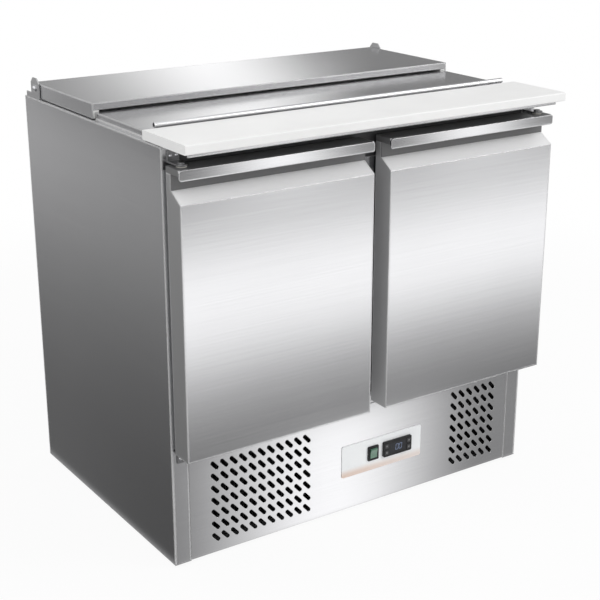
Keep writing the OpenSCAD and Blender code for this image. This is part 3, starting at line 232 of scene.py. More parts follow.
# Zones: a door's finger recess, bevel, flank beside the other door and flank at the hinges; the hood's edge.
# Each one paints light or shade, as told above it
# Behind a door's lip: dark grey, partly a dark handle profile and partly painted shade under the lip and
# board
recessPaintedShade = {"lipDepth": 0.0045, "soft": 0.0006, "colour": (0.14, 0.14, 0.142), "rough": 0.45,
              "metallic": 0.0, "edgeLightShows": 0.0}
# Door bevel: near-white and matte, a painted highlight on the face that looks up
bevelPaintedHighlight = {"tilt": (0.4, 0.6), "colour": (0.97, 0.97, 0.975), "rough": 0.35,
             "metallic": 0.0, "edgeLightShows": 0.0}
# Door flanks: an even, less metallic grey that paints over the shade in the gap between the doors
flankPaintedLight = {"tilt": (0.8, 0.95), "from": (0.0, 0.01), "colour": (0.52, 0.52, 0.525), "rough": 0.4,
             "metallic": 0.4, "edgeLightShows": 1.0}
# Flank at the hinges: a darker copy of it, painted shade
hingeFlankPaintedShade = {**flankPaintedLight, "from": (0.2, 0.3), "colour": (0.38, 0.38, 0.383), "metallic": 0.7}
# Hood's front edge: darker steel, painted shade on the face that looks forward
hoodFrontPaintedShade = {"tilt": (0.8, 0.95), "colour": (0.4, 0.4, 0.405), "rough": 0.22,
            "metallic": 1.0, "edgeLightShows": 1.0}
doorZones = [(facingAside, flankPaintedLight), (facingAside, hingeFlankPaintedShade), (facingUp, bevelPaintedHighlight)]

# Side panels and sill: a paler, wider painted highlight along their folded edges
levelSteel = brushedSheet("levelSteel", {
    **steelLook, "foldRadius": 0.005, "bend": (0.002, 0.02), "edgeLight": 1.0, "edgeLightColour": (0.97, 0.97, 0.975),
    "edgeLightMetallic": 0.0})
ventSteel = brushedSheet("ventSteel", {**steelLook, "foldRadius": 0.0015, "edgeLight": 0.5})
doorSteel = brushedSheet("doorSteel", steelLook, doorZones)
gripSteel = brushedSheet("gripSteel", {
    **steelLook, "dark": (0.57, 0.57, 0.58), "light": (0.64, 0.64, 0.65), "rough": 0.12,
    "foldRadius": 0.0022}, [(behindLip, recessPaintedShade)])
topLook = {**steelLook, "hair": (4.0, 1100.0, 1100.0), "band": (0.9, 160.0, 160.0)}
topSteel = brushedSheet("topSteel", topLook)
hoodSteel = brushedSheet("hoodSteel", topLook, [(facingFront, hoodFrontPaintedShade)])
uprightSteel = brushedSheet("uprightSteel", {
    **steelLook, "hair": (1100.0, 1100.0, 4.0), "band": (160.0, 160.0, 0.9)})
satinSteel = brushedSheet("satinSteel", {
    **steelLook, "dark": (0.57, 0.57, 0.58), "light": (0.66, 0.66, 0.67), "rough": 0.25,
    "foldRadius": 0.002})
bracketSteel = brushedSheet("bracketSteel", {
    **steelLook, "dark": (0.36, 0.36, 0.365), "light": (0.43, 0.43, 0.435), "rough": 0.3,
    "edgeLightColour": (0.62, 0.62, 0.62), "foldRadius": 0.0015})
hingeSteel = brushedSheet("hingeSteel", {
    **steelLook, "dark": (0.2, 0.2, 0.205), "light": (0.27, 0.27, 0.275), "rough": 0.32,
    "edgeLightColour": (0.4, 0.4, 0.4), "foldRadius": 0.0015})
linerSteel = brushedSheet("linerSteel", {
    **steelLook, "hair": (300.0, 300.0, 9.0), "rough": 0.42, "foldRadius": 0.002})

# Pressed or plated metal: a fine grain with shallow cloudy patches
metalLook = {"grainShare": 0.5, "cloudShare": 0.5, "toneSpan": (0.3, 0.7), "metallic": 1.0,
             "bumpDepth": 0.0005}


def grainMetal(name, ownLook):
    look = {**metalLook, **ownLook}
    material, skin, place = startMaterial(name)
    grain = place.noise("grain", look["grainScale"])
    cloud = place.noise("soft", look["cloudScale"])
    tone = (look["grainShare"] * grain + look["cloudShare"] * cloud).clamped()
    dress(skin, place, {
        "Base Color": tone.ranged(*look["toneSpan"]).blend(look["dark"], look["light"]),
        "Roughness": grain.around(look["rough"], look["roughSpan"]),
        "Metallic": look["metallic"],
        "Normal": grain.bump(look["bump"], look["bumpDepth"]),
    })
    return material


panSteel = grainMetal("panSteel", {
    "grainScale": 420.0, "cloudScale": 9.0, "dark": (0.6, 0.6, 0.6), "light": (0.74, 0.74, 0.74),
    "rough": 0.24, "roughSpan": 0.14, "bump": 0.05})
pinSteel = grainMetal("pinSteel", {
    "grainScale": 900.0, "cloudScale": 60.0, "dark": (0.66, 0.66, 0.68), "light": (0.8, 0.8, 0.82),
    "rough": 0.16, "roughSpan": 0.1, "bump": 0.03})
copperTube = grainMetal("copperTube", {
    "grainScale": 260.0, "cloudScale": 18.0, "dark": (0.55, 0.27, 0.15), "light": (0.78, 0.44, 0.28),
    "rough": 0.3, "roughSpan": 0.2, "bump": 0.04})
finAluminium = grainMetal("finAluminium", {
    "grainScale": 350.0, "cloudScale": 14.0, "dark": (0.62, 0.63, 0.65), "light": (0.78, 0.79, 0.8),
    "rough": 0.4, "roughSpan": 0.2, "bump": 0.05})

# Zinc sheet: large flat crystals, each a little lighter or darker than the next
zincLook = {
    "crystalScale": 55.0, "grainScale": 300.0, "flakeShare": 0.65, "grainShare": 0.35,
    "dark": (0.5, 0.51, 0.52), "light": (0.6, 0.61, 0.62), "rough": 0.46, "roughSpan": 0.12, "metallic": 0.9,
    "bump": 0.05, "bumpDepth": 0.0006,
}


def zincSheet(name, look):
    material, skin, place = startMaterial(name)
    flake = place.add("ShaderNodeTexVoronoi", {"feature": "F1"},
                      {"Vector": place, "Scale": look["crystalScale"]}, "Color").axis("X")
    grain = place.noise("pebble", look["grainScale"])
    tone = (look["flakeShare"] * flake + look["grainShare"] * grain).clamped()
    dress(skin, place, {
        "Base Color": tone.blend(look["dark"], look["light"]),
        "Roughness": flake.around(look["rough"], look["roughSpan"]),
        "Metallic": look["metallic"],
        "Normal": grain.bump(look["bump"], look["bumpDepth"]),
    })
    return material


zincGrey = zincSheet("zincGrey", zincLook)
# Dark zinc for the base tray: painted shade that makes the vent slots read black
zincPaintedShade = zincSheet("zincPaintedShade", {
    **zincLook, "dark": (0.07, 0.072, 0.074), "light": (0.1, 0.102, 0.104), "rough": 0.6, "metallic": 0.5})

# Moulded or painted skin: fine pebble and a soft cloud in the colour
skinLook = {"pebbleShare": 0.45, "cloudShare": 0.55, "toneSpan": (0.3, 0.7), "bumpDepth": 0.0004,
            "specular": 0.5, "coat": 0.0}


def mouldedSkin(name, ownLook):
    look = {**skinLook, **ownLook}
    material, skin, place = startMaterial(name)
    pebble = place.noise("pebble", look["pebbleScale"])
    cloud = place.noise("cloud", look["cloudScale"])
    tone = (look["pebbleShare"] * pebble + look["cloudShare"] * cloud).clamped()
    dress(skin, place, {
        "Base Color": tone.ranged(*look["toneSpan"]).blend(look["dark"], look["light"]),
        "Roughness": pebble.around(look["rough"], look["roughSpan"]),
        "Normal": pebble.bump(look["bump"], look["bumpDepth"]),
        "Specular IOR Level": look["specular"],
        "Coat Weight": look["coat"],
    })
    return material


boardWhite = mouldedSkin("boardWhite", {
    "pebbleScale": 700.0, "cloudScale": 7.0, "dark": (0.89, 0.89, 0.885), "light": (0.95, 0.95, 0.945),
    "rough": 0.5, "roughSpan": 0.12, "bump": 0.08})
whitePlastic = mouldedSkin("whitePlastic", {
    "pebbleScale": 500.0, "cloudScale": 9.0, "dark": (0.78, 0.78, 0.76), "light": (0.87, 0.87, 0.86),
    "rough": 0.42, "roughSpan": 0.15, "bump": 0.06})
doorLining = mouldedSkin("doorLining", {
    "pebbleScale": 320.0, "cloudScale": 6.0, "dark": (0.76, 0.77, 0.78), "light": (0.85, 0.86, 0.86),
    "rough": 0.45, "roughSpan": 0.15, "bump": 0.09})
foamCore = mouldedSkin("foamCore", {
    "pebbleScale": 180.0, "cloudScale": 12.0, "dark": (0.66, 0.58, 0.36), "light": (0.82, 0.74, 0.5),
    "rough": 0.85, "roughSpan": 0.1, "bump": 0.4, "bumpDepth": 0.001, "specular": 0.2})
coatedWire = mouldedSkin("coatedWire", {
    "pebbleScale": 450.0, "cloudScale": 25.0, "dark": (0.74, 0.75, 0.76), "light": (0.86, 0.87, 0.88),
    "rough": 0.32, "roughSpan": 0.12, "bump": 0.05})
blackEnamel = mouldedSkin("blackEnamel", {
    "pebbleScale": 260.0, "cloudScale": 10.0, "dark": (0.012, 0.012, 0.013), "light": (0.035, 0.035, 0.037),
    "rough": 0.3, "roughSpan": 0.18, "bump": 0.12, "coat": 0.2})
blackPlastic = mouldedSkin("blackPlastic", {
    "pebbleScale": 900.0, "cloudScale": 40.0, "dark": (0.008, 0.008, 0.009), "light": (0.02, 0.02, 0.021),
    "rough": 0.46, "roughSpan": 0.16, "bump": 0.1, "specular": 0.2})
blackRubber = mouldedSkin("blackRubber", {
    "pebbleScale": 600.0, "cloudScale": 15.0, "dark": (0.022, 0.022, 0.023), "light": (0.055, 0.055, 0.056),
    "rough": 0.7, "roughSpan": 0.16, "bump": 0.16, "specular": 0.3})
# Near-black finish for the front top rail: painted shade in the band under the cutting board
railPaintedShade = mouldedSkin("railPaintedShade", {
    "pebbleScale": 500.0, "cloudScale": 12.0, "dark": (0.03, 0.03, 0.031), "light": (0.055, 0.055, 0.057),
    "rough": 0.5, "roughSpan": 0.14, "bump": 0.08})
gasketGrey = mouldedSkin("gasketGrey", {
    "pebbleScale": 500.0, "cloudScale": 14.0, "dark": (0.03, 0.03, 0.031), "light": (0.055, 0.055, 0.057),
    "rough": 0.62, "roughSpan": 0.14, "bump": 0.12, "specular": 0.35})
keyGrey = mouldedSkin("keyGrey", {
    "pebbleScale": 1200.0, "cloudScale": 90.0, "dark": (0.035, 0.035, 0.037), "light": (0.06, 0.06, 0.063),
    "rough": 0.5, "roughSpan": 0.14, "bump": 0.08, "specular": 0.3})
markGrey = mouldedSkin("markGrey", {
    "pebbleScale": 1500.0, "cloudScale": 200.0, "dark": (0.2, 0.2, 0.2), "light": (0.28, 0.28, 0.28),
    "rough": 0.5, "roughSpan": 0.1, "bump": 0.02})
bushNylon = mouldedSkin("bushNylon", {
    "pebbleScale": 700.0, "cloudScale": 60.0, "dark": (0.72, 0.7, 0.64), "light": (0.82, 0.8, 0.75),
    "rough": 0.45, "roughSpan": 0.14, "bump": 0.06})
displayGlass = mouldedSkin("displayGlass", {
    "pebbleScale": 600.0, "cloudScale": 50.0, "dark": (0.008, 0.009, 0.012), "light": (0.016, 0.018, 0.022),
    "rough": 0.2, "roughSpan": 0.06, "bump": 0.02, "specular": 0.25})


# Control plate: white film with one plain warm band along its foot
def printedPlate(name, ownLook):
    look = {**skinLook, **ownLook}
    material, skin, place = startMaterial(name)
    low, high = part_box("control_plate")
    pebble = place.noise("pebble", look["pebbleScale"])
    cloud = place.noise("cloud", look["cloudScale"])
    tone = look["pebbleShare"] * pebble + look["cloudShare"] * cloud
    film = tone.ranged(*look["toneSpan"]).blend(look["dark"], look["light"])
    band = place.axis("Z").ranged(low.z + look["bandFoot"], low.z + look["bandHigh"], 1.0, 0.0)
    band = band * place.axis("X").ranged(low.x, high.x, look["bandLeft"], look["bandRight"])
    dress(skin, place, {
        "Base Color": band.blend(film, look["bandColour"]),
        "Roughness": pebble.around(look["rough"], look["roughSpan"]),
        "Normal": pebble.bump(look["bump"], look["bumpDepth"]),
        "Coat Weight": look["coat"],
    })
    return material


plateWhite = printedPlate("plateWhite", {
    "pebbleScale": 1500.0, "cloudScale": 11.0, "dark": (0.9, 0.92, 0.93), "light": (0.96, 0.97, 0.98),
    "bandFoot": 0.004, "bandHigh": 0.022, "bandLeft": 0.75, "bandRight": 0.45,
    "bandColour": (0.72, 0.5, 0.38), "rough": 0.34, "roughSpan": 0.12, "bump": 0.05, "coat": 0.15})


# Green lens of the switch: fine ribs and a soft cloud
def lensGreen(name, look):
    material, skin, place = startMaterial(name)
    rib = place.add("ShaderNodeTexWave", {"bands_direction": "X"},
                    {"Vector": place, "Scale": look["ribScale"]})
    cloud = place.noise("soft", look["cloudScale"])
    tone = (look["ribShare"] * rib + look["cloudShare"] * cloud).clamped()
    dress(skin, place, {
        "Base Color": tone.blend(look["dark"], look["light"]),
        "Roughness": cloud.around(look["rough"], look["roughSpan"]),
        "Normal": rib.bump(look["bump"], look["bumpDepth"]),
        "Coat Weight": look["coat"],
    })
    return material


switchGreen = lensGreen("switchGreen", {
    "ribScale": 160.0, "cloudScale": 120.0, "ribShare": 0.6, "cloudShare": 0.4,
    "dark": (0.05, 0.13, 0.085), "light": (0.13, 0.27, 0.18), "rough": 0.2, "roughSpan": 0.1,
    "bump": 0.15, "bumpDepth": 0.0003, "coat": 0.4})


# Lit bars of the display
def litSegment(name, look):
    material, skin, place = startMaterial(name)
    dress(skin, place, {
        "Base Color": look["unlit"],
        "Emission Color": place.noise("glow", look["glowScale"]).blend(look["dim"], look["lit"]),
        "Emission Strength": look["strength"],
        "Roughness": look["rough"],
    })
    return material


digitBlue = litSegment("digitBlue", {
    "glowScale": 600.0, "dim": (0.4, 0.5, 0.8), "lit": (0.55, 0.68, 1.0), "unlit": (0.03, 0.04, 0.07),
    "strength": 0.24, "rough": 0.4})

finishes = {
    levelSteel: ["left_side_panel", "right_side_panel", "front_sill"],
    ventSteel: ["base_panel"],
    doorSteel: ["left_door_skin", "right_door_skin"],
    gripSteel: ["left_door_handle", "right_door_handle"],
    railPaintedShade: ["front_top_rail"],
    uprightSteel: ["centre_mullion"],
    topSteel: ["rear_top_rail", "front_lid", "board_tray"],
    hoodSteel: ["rear_hood"],
    satinSteel: ["lid_handle"],
    bracketSteel: ["hood_brackets"],
    hingeSteel: ["hinge_plates"],
    linerSteel: ["inner_liner", "pan_bars", "shelf_pilasters", "shelf_clips"],
    panSteel: ["left_full_pan", "right_full_pan", "sixth_pans"],
    pinSteel: ["hood_pins"],
    zincGrey: ["rear_panel", "fan_shroud"],
    zincPaintedShade: ["base_tray"],
    foamCore: ["wall_insulation"],
    doorLining: ["left_door_inner", "right_door_inner", "hood_core"],
    coatedWire: ["wire_shelves"],
    finAluminium: ["evaporator_coil"],
    whitePlastic: ["drip_trough", "terminal_box", "hood_guides"],
    copperTube: ["refrigerant_lines"],
    # The condenser coil is black partly as black paint and partly as painted shade that darkens the vent
    # slots
    blackEnamel: ["compressor", "fan_motor", "condenser_coil"],
    blackRubber: ["compressor_grommets", "levelling_feet"],
    gasketGrey: ["left_door_gasket", "right_door_gasket"],
    blackPlastic: ["condenser_fan", "evaporation_tray", "power_inlet", "switch_bezel", "controller_body"],
    plateWhite: ["control_plate"],
    switchGreen: ["switch_rocker"],
    displayGlass: ["display_window"],
    keyGrey: ["up_key", "down_key", "set_key", "defrost_key"],
    bushNylon: ["left_door_bushes", "right_door_bushes"],
    boardWhite: ["cutting_board"],
}
for finish, names in finishes.items():
    for name in names:
        mesh = cadNodes[name].data
        mesh.materials.clear()
        mesh.materials.append(finish)
print("finishes set on", sum(map(len, finishes.values())), "nodes")


def newPiece(name, mesh, body):
    piece = bpy.data.objects.new(name, mesh)
    scene.collection.objects.link(piece)
    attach(piece, body)


def meshFrom(name, build, material=None):
    work = bmesh.new()
    build(work)
    bmesh.ops.recalc_face_normals(work, faces=work.faces)
    mesh = bpy.data.meshes.new(name)
    work.to_mesh(mesh)
    work.free()
    if material:
        mesh.materials.append(material)
    return mesh


def neighbours(ring):  # each point with the next one, round to the start
    return list(zip(ring, [*ring[1:], ring[0]]))


def wallBetween(work, low, high):  # a band of faces between two rings
    for (first, second), (third, fourth) in zip(neighbours(low), neighbours(high)):
        work.faces.new((first, second, fourth, third))


# Pan head screws with a cross, set on points that carry their own facing
screwLook = {
    "headRadius": 0.0036, "headRise": 0.0018, "sides": 20,
    "rings": ((1.0, 0.0), (0.97, 0.45), (0.82, 0.8), (0.55, 1.0)),  # shares of the radius and of the rise
    "crossWidth": 0.0009, "crossReach": 0.0018, "crossDepth": 0.0009, "smoothTo": 38.0,
}


def screwHead(work):
    look = screwLook
    angles = [math.tau * i / look["sides"] for i in range(look["sides"])]
    loops = []
    for share, rise in look["rings"]:
        radius, height = look["headRadius"] * share, look["headRise"] * rise
        loops.append([work.verts.new((radius * math.cos(a), radius * math.sin(a), height)) for a in angles])
    for low, high in zip(loops, loops[1:]):
        wallBetween(work, low, high)
    work.faces.new(loops[0][::-1])
    half, reach = look["crossWidth"] / 2, look["crossReach"]
    arm = [(reach, half), (reach, -half), (half, -half)]
    cross = []
    for _ in range(4):  # one arm for each quarter turn
        cross += arm
        arm = [(y, -x) for x, y in arm]
    rim = [work.verts.new((x, y, look["headRise"])) for x, y in cross]
    deep = [work.verts.new((x, y, look["headRise"] - look["crossDepth"])) for x, y in cross]
    wallBetween(work, rim, deep)
    work.faces.new(deep)
    edges = [work.edges.get(pair) for ring in (loops[-1], rim) for pair in neighbours(ring)]
    bmesh.ops.triangle_fill(work, use_beauty=True, edges=edges)


def fastenerTree():
    tree = bpy.data.node_groups.new("fastenerRow", "GeometryNodeTree")
    face = tree.interface
    face.new_socket("Geometry", in_out="INPUT", socket_type="NodeSocketGeometry")
    sockets = {
        "Head": face.new_socket("Head", in_out="INPUT", socket_type="NodeSocketObject"),
        "Size": face.new_socket("Size", in_out="INPUT", socket_type="NodeSocketFloat"),
        "Turn seed": face.new_socket("Turn seed", in_out="INPUT", socket_type="NodeSocketInt"),
        "Finish": face.new_socket("Finish", in_out="INPUT", socket_type="NodeSocketMaterial"),
    }
    face.new_socket("Geometry", in_out="OUTPUT", socket_type="NodeSocketGeometry")
    nodes, links = tree.nodes, tree.links
    start = nodes.new("NodeGroupInput")
    end = nodes.new("NodeGroupOutput")
    head = nodes.new("GeometryNodeObjectInfo")
    facing = nodes.new("GeometryNodeInputNamedAttribute")
    facing.data_type = "FLOAT_VECTOR"
    facing.inputs["Name"].default_value = "facing"
    align = nodes.new("FunctionNodeAlignRotationToVector")
    align.axis = "Z"
    turn = nodes.new("FunctionNodeRandomValue")
    turn.data_type = "FLOAT"
    findSocket(turn.inputs, "Max_001").default_value = math.pi
    spin = nodes.new("FunctionNodeAxisAngleToRotation")
    rotate = nodes.new("FunctionNodeRotateRotation")
    rotate.rotation_space = "LOCAL"
    place = nodes.new("GeometryNodeInstanceOnPoints")
    real = nodes.new("GeometryNodeRealizeInstances")
    coat = nodes.new("GeometryNodeSetMaterial")
    links.new(start.outputs["Head"], head.inputs["Object"])
    links.new(facing.outputs["Attribute"], align.inputs["Vector"])
    links.new(start.outputs["Turn seed"], turn.inputs["Seed"])
    links.new(findSocket(turn.outputs, "Value_001"), spin.inputs["Angle"])
    links.new(align.outputs[0], rotate.inputs["Rotation"])
    links.new(spin.outputs[0], rotate.inputs["Rotate By"])
    links.new(start.outputs["Geometry"], place.inputs["Points"])
    links.new(head.outputs["Geometry"], place.inputs["Instance"])
    links.new(rotate.outputs[0], place.inputs["Rotation"])
    links.new(start.outputs["Size"], place.inputs["Scale"])
    links.new(place.outputs[0], real.inputs[0])
    links.new(real.outputs[0], coat.inputs["Geometry"])
    links.new(start.outputs["Finish"], coat.inputs["Material"])
    links.new(coat.outputs[0], end.inputs[0])
    return tree, {key: socket.identifier for key, socket in sockets.items()}


fastenerRow, fastenerKeys = fastenerTree()
headTemplate = bpy.data.objects.new("headTemplate", meshFrom("headTemplate", screwHead))
scene.collection.objects.link(headTemplate)
bpy.context.view_layer.update()


def setFasteners(name, spots, look):  # spots hold a place and a facing each
    cloud = bpy.data.meshes.new(name + "Spots")
    cloud.from_pydata([spot for spot, _ in spots], [], [])
    facing = cloud.attributes.new("facing", "FLOAT_VECTOR", "POINT")
    for item, (_, way) in zip(facing.data, spots):
        item.vector = way
    holder = bpy.data.objects.new(name + "Spots", cloud)
    scene.collection.objects.link(holder)
    work = holder.modifiers.new("fasteners", "NODES")
    work.node_group = fastenerRow
    inputs = {"Head": headTemplate, "Size": look["size"], "Turn seed": look["seed"], "Finish": pinSteel}
    for key, value in inputs.items():
        work[fastenerKeys[key]] = value
    bpy.context.view_layer.update()
    mesh = bpy.data.meshes.new_from_object(holder.evaluated_get(bpy.context.evaluated_depsgraph_get()))
    mesh.name = name
    mesh.shade_smooth()
    mesh.set_sharp_from_angle(angle=math.radians(screwLook["smoothTo"]))
    holder.modifiers.remove(work)
    bpy.data.objects.remove(holder)
    newPiece(name, mesh, "cabinet")


# Screws round the edge of the rear panel
rearLook = {"inset": 0.012, "across": 6, "up": 5, "size": 1.0, "seed": 3}
rearLow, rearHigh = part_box("rear_panel")
leftX, rightX = rearLow.x + rearLook["inset"], rearHigh.x - rearLook["inset"]
lowZ, highZ = rearLow.z + rearLook["inset"], rearHigh.z - rearLook["inset"]
rearSpots = []
for i in range(rearLook["across"]):
    x = leftX + (rightX - leftX) * i / (rearLook["across"] - 1)
    rearSpots += [((x, rearHigh.y, z), (0, 1, 0)) for z in (lowZ, highZ)]
for i in range(1, rearLook["up"] - 1):
    z = lowZ + (highZ - lowZ) * i / (rearLook["up"] - 1)
    rearSpots += [((x, rearHigh.y, z), (0, 1, 0)) for x in (leftX, rightX)]
setFasteners("rearScrews", rearSpots, rearLook)

# Screws on the hinge plates' flanges and the hood brackets' feet, and the driven heads of the hood's pins
hingeLook = {"plateHalf": 0.012, "apart": 0.006, "flangeMid": 0.0095, "plateThick": 0.003,
             "size": 0.9, "seed": 5}
footLook = {"inFromSide": (0.0125, 0.0285), "inFromBack": 0.012, "footThick": 0.0025, "size": 1.0, "seed": 7}
pinLook = {"size": 1.3, "seed": 9}
hingeLow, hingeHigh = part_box("hinge_plates")
footLow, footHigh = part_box("hood_brackets")
pinLow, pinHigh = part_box("hood_pins")
hingeSpots, footSpots, pinSpots = [], [], []
for side in (-1, 1):
    for step in (-1, 1):
        x = side * (hingeHigh.x - hingeLook["plateHalf"] + step * hingeLook["apart"])
        for z in (hingeLow.z + hingeLook["flangeMid"], hingeHigh.z - hingeLook["flangeMid"]):
            hingeSpots.append(((x, hingeHigh.y - hingeLook["plateThick"], z), (0, -1, 0)))
    for reach in footLook["inFromSide"]:
        x, y = side * (footHigh.x - reach), footHigh.y - footLook["inFromBack"]
        footSpots.append(((x, y, footLow.z + footLook["footThick"]), (0, 0, 1)))
    pinMiddle = (pinLow + pinHigh) / 2
    pinSpots.append(((side * pinHigh.x, pinMiddle.y, pinMiddle.z), (side, 0, 0)))
setFasteners("hingeScrews", hingeSpots, hingeLook)
setFasteners("bracketScrews", footSpots, footLook)
setFasteners("pinHeads", pinSpots, pinLook)
bpy.data.objects.remove(headTemplate)
print("fasteners set")


def raisedMark(work, ring, face, rise):  # a flat outline of x and z, raised from a face that looks forward
    low = [work.verts.new((x, face, z)) for x, z in ring]
    high = [work.verts.new((x, face - rise, z)) for x, z in ring]
    wallBetween(work, low, high)
    work.faces.new(low)
    work.faces.new(high[::-1])


# Two lit digits on the display; a bar runs between two corners, given as shares of the width and the height
digitLook = {"high": 0.0125, "wide": 0.0066, "bar": 0.0013, "lean": 0.12, "gap": 0.0026, "rise": 0.00025,
             "right": 0.004, "nip": 0.55, "tip": 0.2, "shown": ("abcdef", "abcdef")}
barPlan = {"a": (0, 1, 1, 1), "b": (1, 0.5, 1, 1), "c": (1, 0, 1, 0.5), "d": (0, 0, 1, 0),
           "e": (0, 0, 0, 0.5), "f": (0, 0.5, 0, 1), "g": (0, 0.5, 1, 0.5)}


def digitBars(work):
    look = digitLook
    windowLow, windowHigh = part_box("display_window")
    midX, midZ = (windowLow.x + windowHigh.x) / 2 + look["right"], (windowLow.z + windowHigh.z) / 2
    footZ = midZ - look["high"] / 2
    for order, shown in enumerate(look["shown"]):
        originX = midX + (order - 1) * (look["wide"] + look["gap"])
        for key in shown:
            x0, z0, x1, z1 = barPlan[key]
            start = Vector((originX + x0 * look["wide"], 0, footZ + z0 * look["high"]))
            finish = Vector((originX + x1 * look["wide"], 0, footZ + z1 * look["high"]))
            along = (finish - start).normalized()
            side = Vector((-along.z, 0, along.x)) * look["bar"] / 2
            nip = along * look["bar"] * look["nip"]
            ring = [start + nip * look["tip"], start + nip + side, finish - nip + side,
                    finish - nip * look["tip"], finish - nip - side, start + nip - side]
            leaning = [(corner.x + (corner.z - midZ) * look["lean"], corner.z) for corner in ring]
            raisedMark(work, leaning, windowLow.y, look["rise"])


newPiece("displayDigits", meshFrom("displayDigits", digitBars, digitBlue), "cabinet")

# Marks on the controller's keys: two arrows, a dot and a frost star
keyMarks = {
    "upMark": {"key": "up_key", "body": "key_up",
               "points": 3, "outer": 0.0026, "inner": 0.0013, "turn": 90},
    "downMark": {"key": "down_key", "body": "key_down",
                 "points": 3, "outer": 0.0026, "inner": 0.0013, "turn": -90},
    "setMark": {"key": "set_key", "body": "key_set",
                "points": 12, "outer": 0.0018, "inner": 0.00174, "turn": 0},
    "frostMark": {"key": "defrost_key", "body": "key_defrost",
                  "points": 6, "outer": 0.0027, "inner": 0.0011, "turn": 90},
}
markRise = 0.00015


def starRing(look, middle):
    ring = []
    for i in range(2 * look["points"]):
        reach = look["inner"] if i % 2 else look["outer"]
        angle = math.radians(look["turn"]) + math.pi * i / look["points"]
        ring.append((middle.x + reach * math.cos(angle), middle.z + reach * math.sin(angle)))
    return ring


for name, look in keyMarks.items():
    keyLow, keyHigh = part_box(look["key"])
    outline = starRing(look, (keyLow + keyHigh) / 2)
    mark = meshFrom(name, lambda work: raisedMark(work, outline, keyLow.y, markRise), markGrey)
    newPiece(name, mark, look["body"])
print("display set")

# Studio: a pale floor that fades out into a white world
floorLook = {"radius": 2.6, "sides": 96, "fade": (1.5, 2.5), "dark": (0.88, 0.88, 0.88),
             "light": (0.92, 0.92, 0.92), "grainScale": 40.0, "rough": 0.8, "specular": 0.1, "lift": 0.92}
worldLook = {"background": 1.0, "fill": 0.64}
backgroundRays = ("Is Camera Ray", "Is Glossy Ray", "Is Transmission Ray")


def seesBackground(place):  # 1 for rays that show the background, 0 for those that only light
    first, second, third = [place.add("ShaderNodeLightPath", {}, {}, ray) for ray in backgroundRays]
    return (first + second + third).clamped()


def paleFloor():
    look = floorLook
    material, skin, place = startMaterial("paleFloor")
    grain = place.noise("floor", look["grainScale"])
    dress(skin, place, {"Base Color": grain.blend(look["dark"], look["light"]), "Roughness": look["rough"],
                        "Specular IOR Level": look["specular"]})
    white = place.add("ShaderNodeEmission", {}, {"Color": plainWhite, "Strength": 1.0})
    lit = place.add("ShaderNodeMixShader", {}, {0: look["lift"] * seesBackground(place),
                                                1: Wire(place.tree, skin.outputs[0]), 2: white})
    reach = place.add("ShaderNodeVectorMath", {"operation": "LENGTH"}, {0: place}, "Value")
    clear = place.add("ShaderNodeBsdfTransparent", {}, {})
    faded = place.add("ShaderNodeMixShader", {}, {0: reach.ranged(*look["fade"]), 1: lit, 2: clear})
    closeMaterial(place.tree, faded)
    return material


def stagePiece(name, mesh):
    piece = bpy.data.objects.new(name, mesh)
    scene.collection.objects.link(piece)
    return piece


def disc(radius):
    sides = floorLook["sides"]
    return lambda work: bmesh.ops.create_circle(work, cap_ends=True, segments=sides, radius=radius)


def studioWorld():
    world = bpy.data.worlds.new("studioWorld")
    world.use_nodes = True
    tree = world.node_tree
    tree.nodes.clear()
    sink = tree.nodes.new("ShaderNodeOutputWorld")
    level = seesBackground(Wire(tree, None)).toward(worldLook["fill"], worldLook["background"])
    sky = level.add("ShaderNodeBackground", {}, {"Color": plainWhite, "Strength": level})
    tree.links.new(sky.socket, sink.inputs[0])
    scene.world = world


stagePiece("studioFloor", meshFrom("studioFloor", disc(floorLook["radius"]), paleFloor()))
studioWorld()


def aimedAlong(way):
    return way.to_track_quat("-Z", "Y").to_euler()


# Camera at the photograph's place, worked out from the table's own corners
cameraLook = {"azimuth": -33.878, "elevation": 19.379, "distance": 2.8807, "focalPixels": 1309.3,
              "imageSide": 600, "sensor": 36.0, "clipEnd": 100.0, "aim": (0.0014, -0.03, 0.4086)}
lens = bpy.data.cameras.new("mainCamera")
lens.sensor_width = cameraLook["sensor"]
lens.lens = cameraLook["focalPixels"] * cameraLook["sensor"] / cameraLook["imageSide"]
lens.clip_end = cameraLook["clipEnd"]
camera = bpy.data.objects.new("mainCamera", lens)
turn, rise = math.radians(cameraLook["azimuth"]), math.radians(cameraLook["elevation"])
backward = Vector((math.sin(turn) * math.cos(rise), -math.cos(turn) * math.cos(rise), math.sin(rise)))
camera.location = Vector(cameraLook["aim"]) + backward * cameraLook["distance"]
camera.rotation_euler = aimedAlong(-backward)
scene.collection.objects.link(camera)
scene.camera = camera

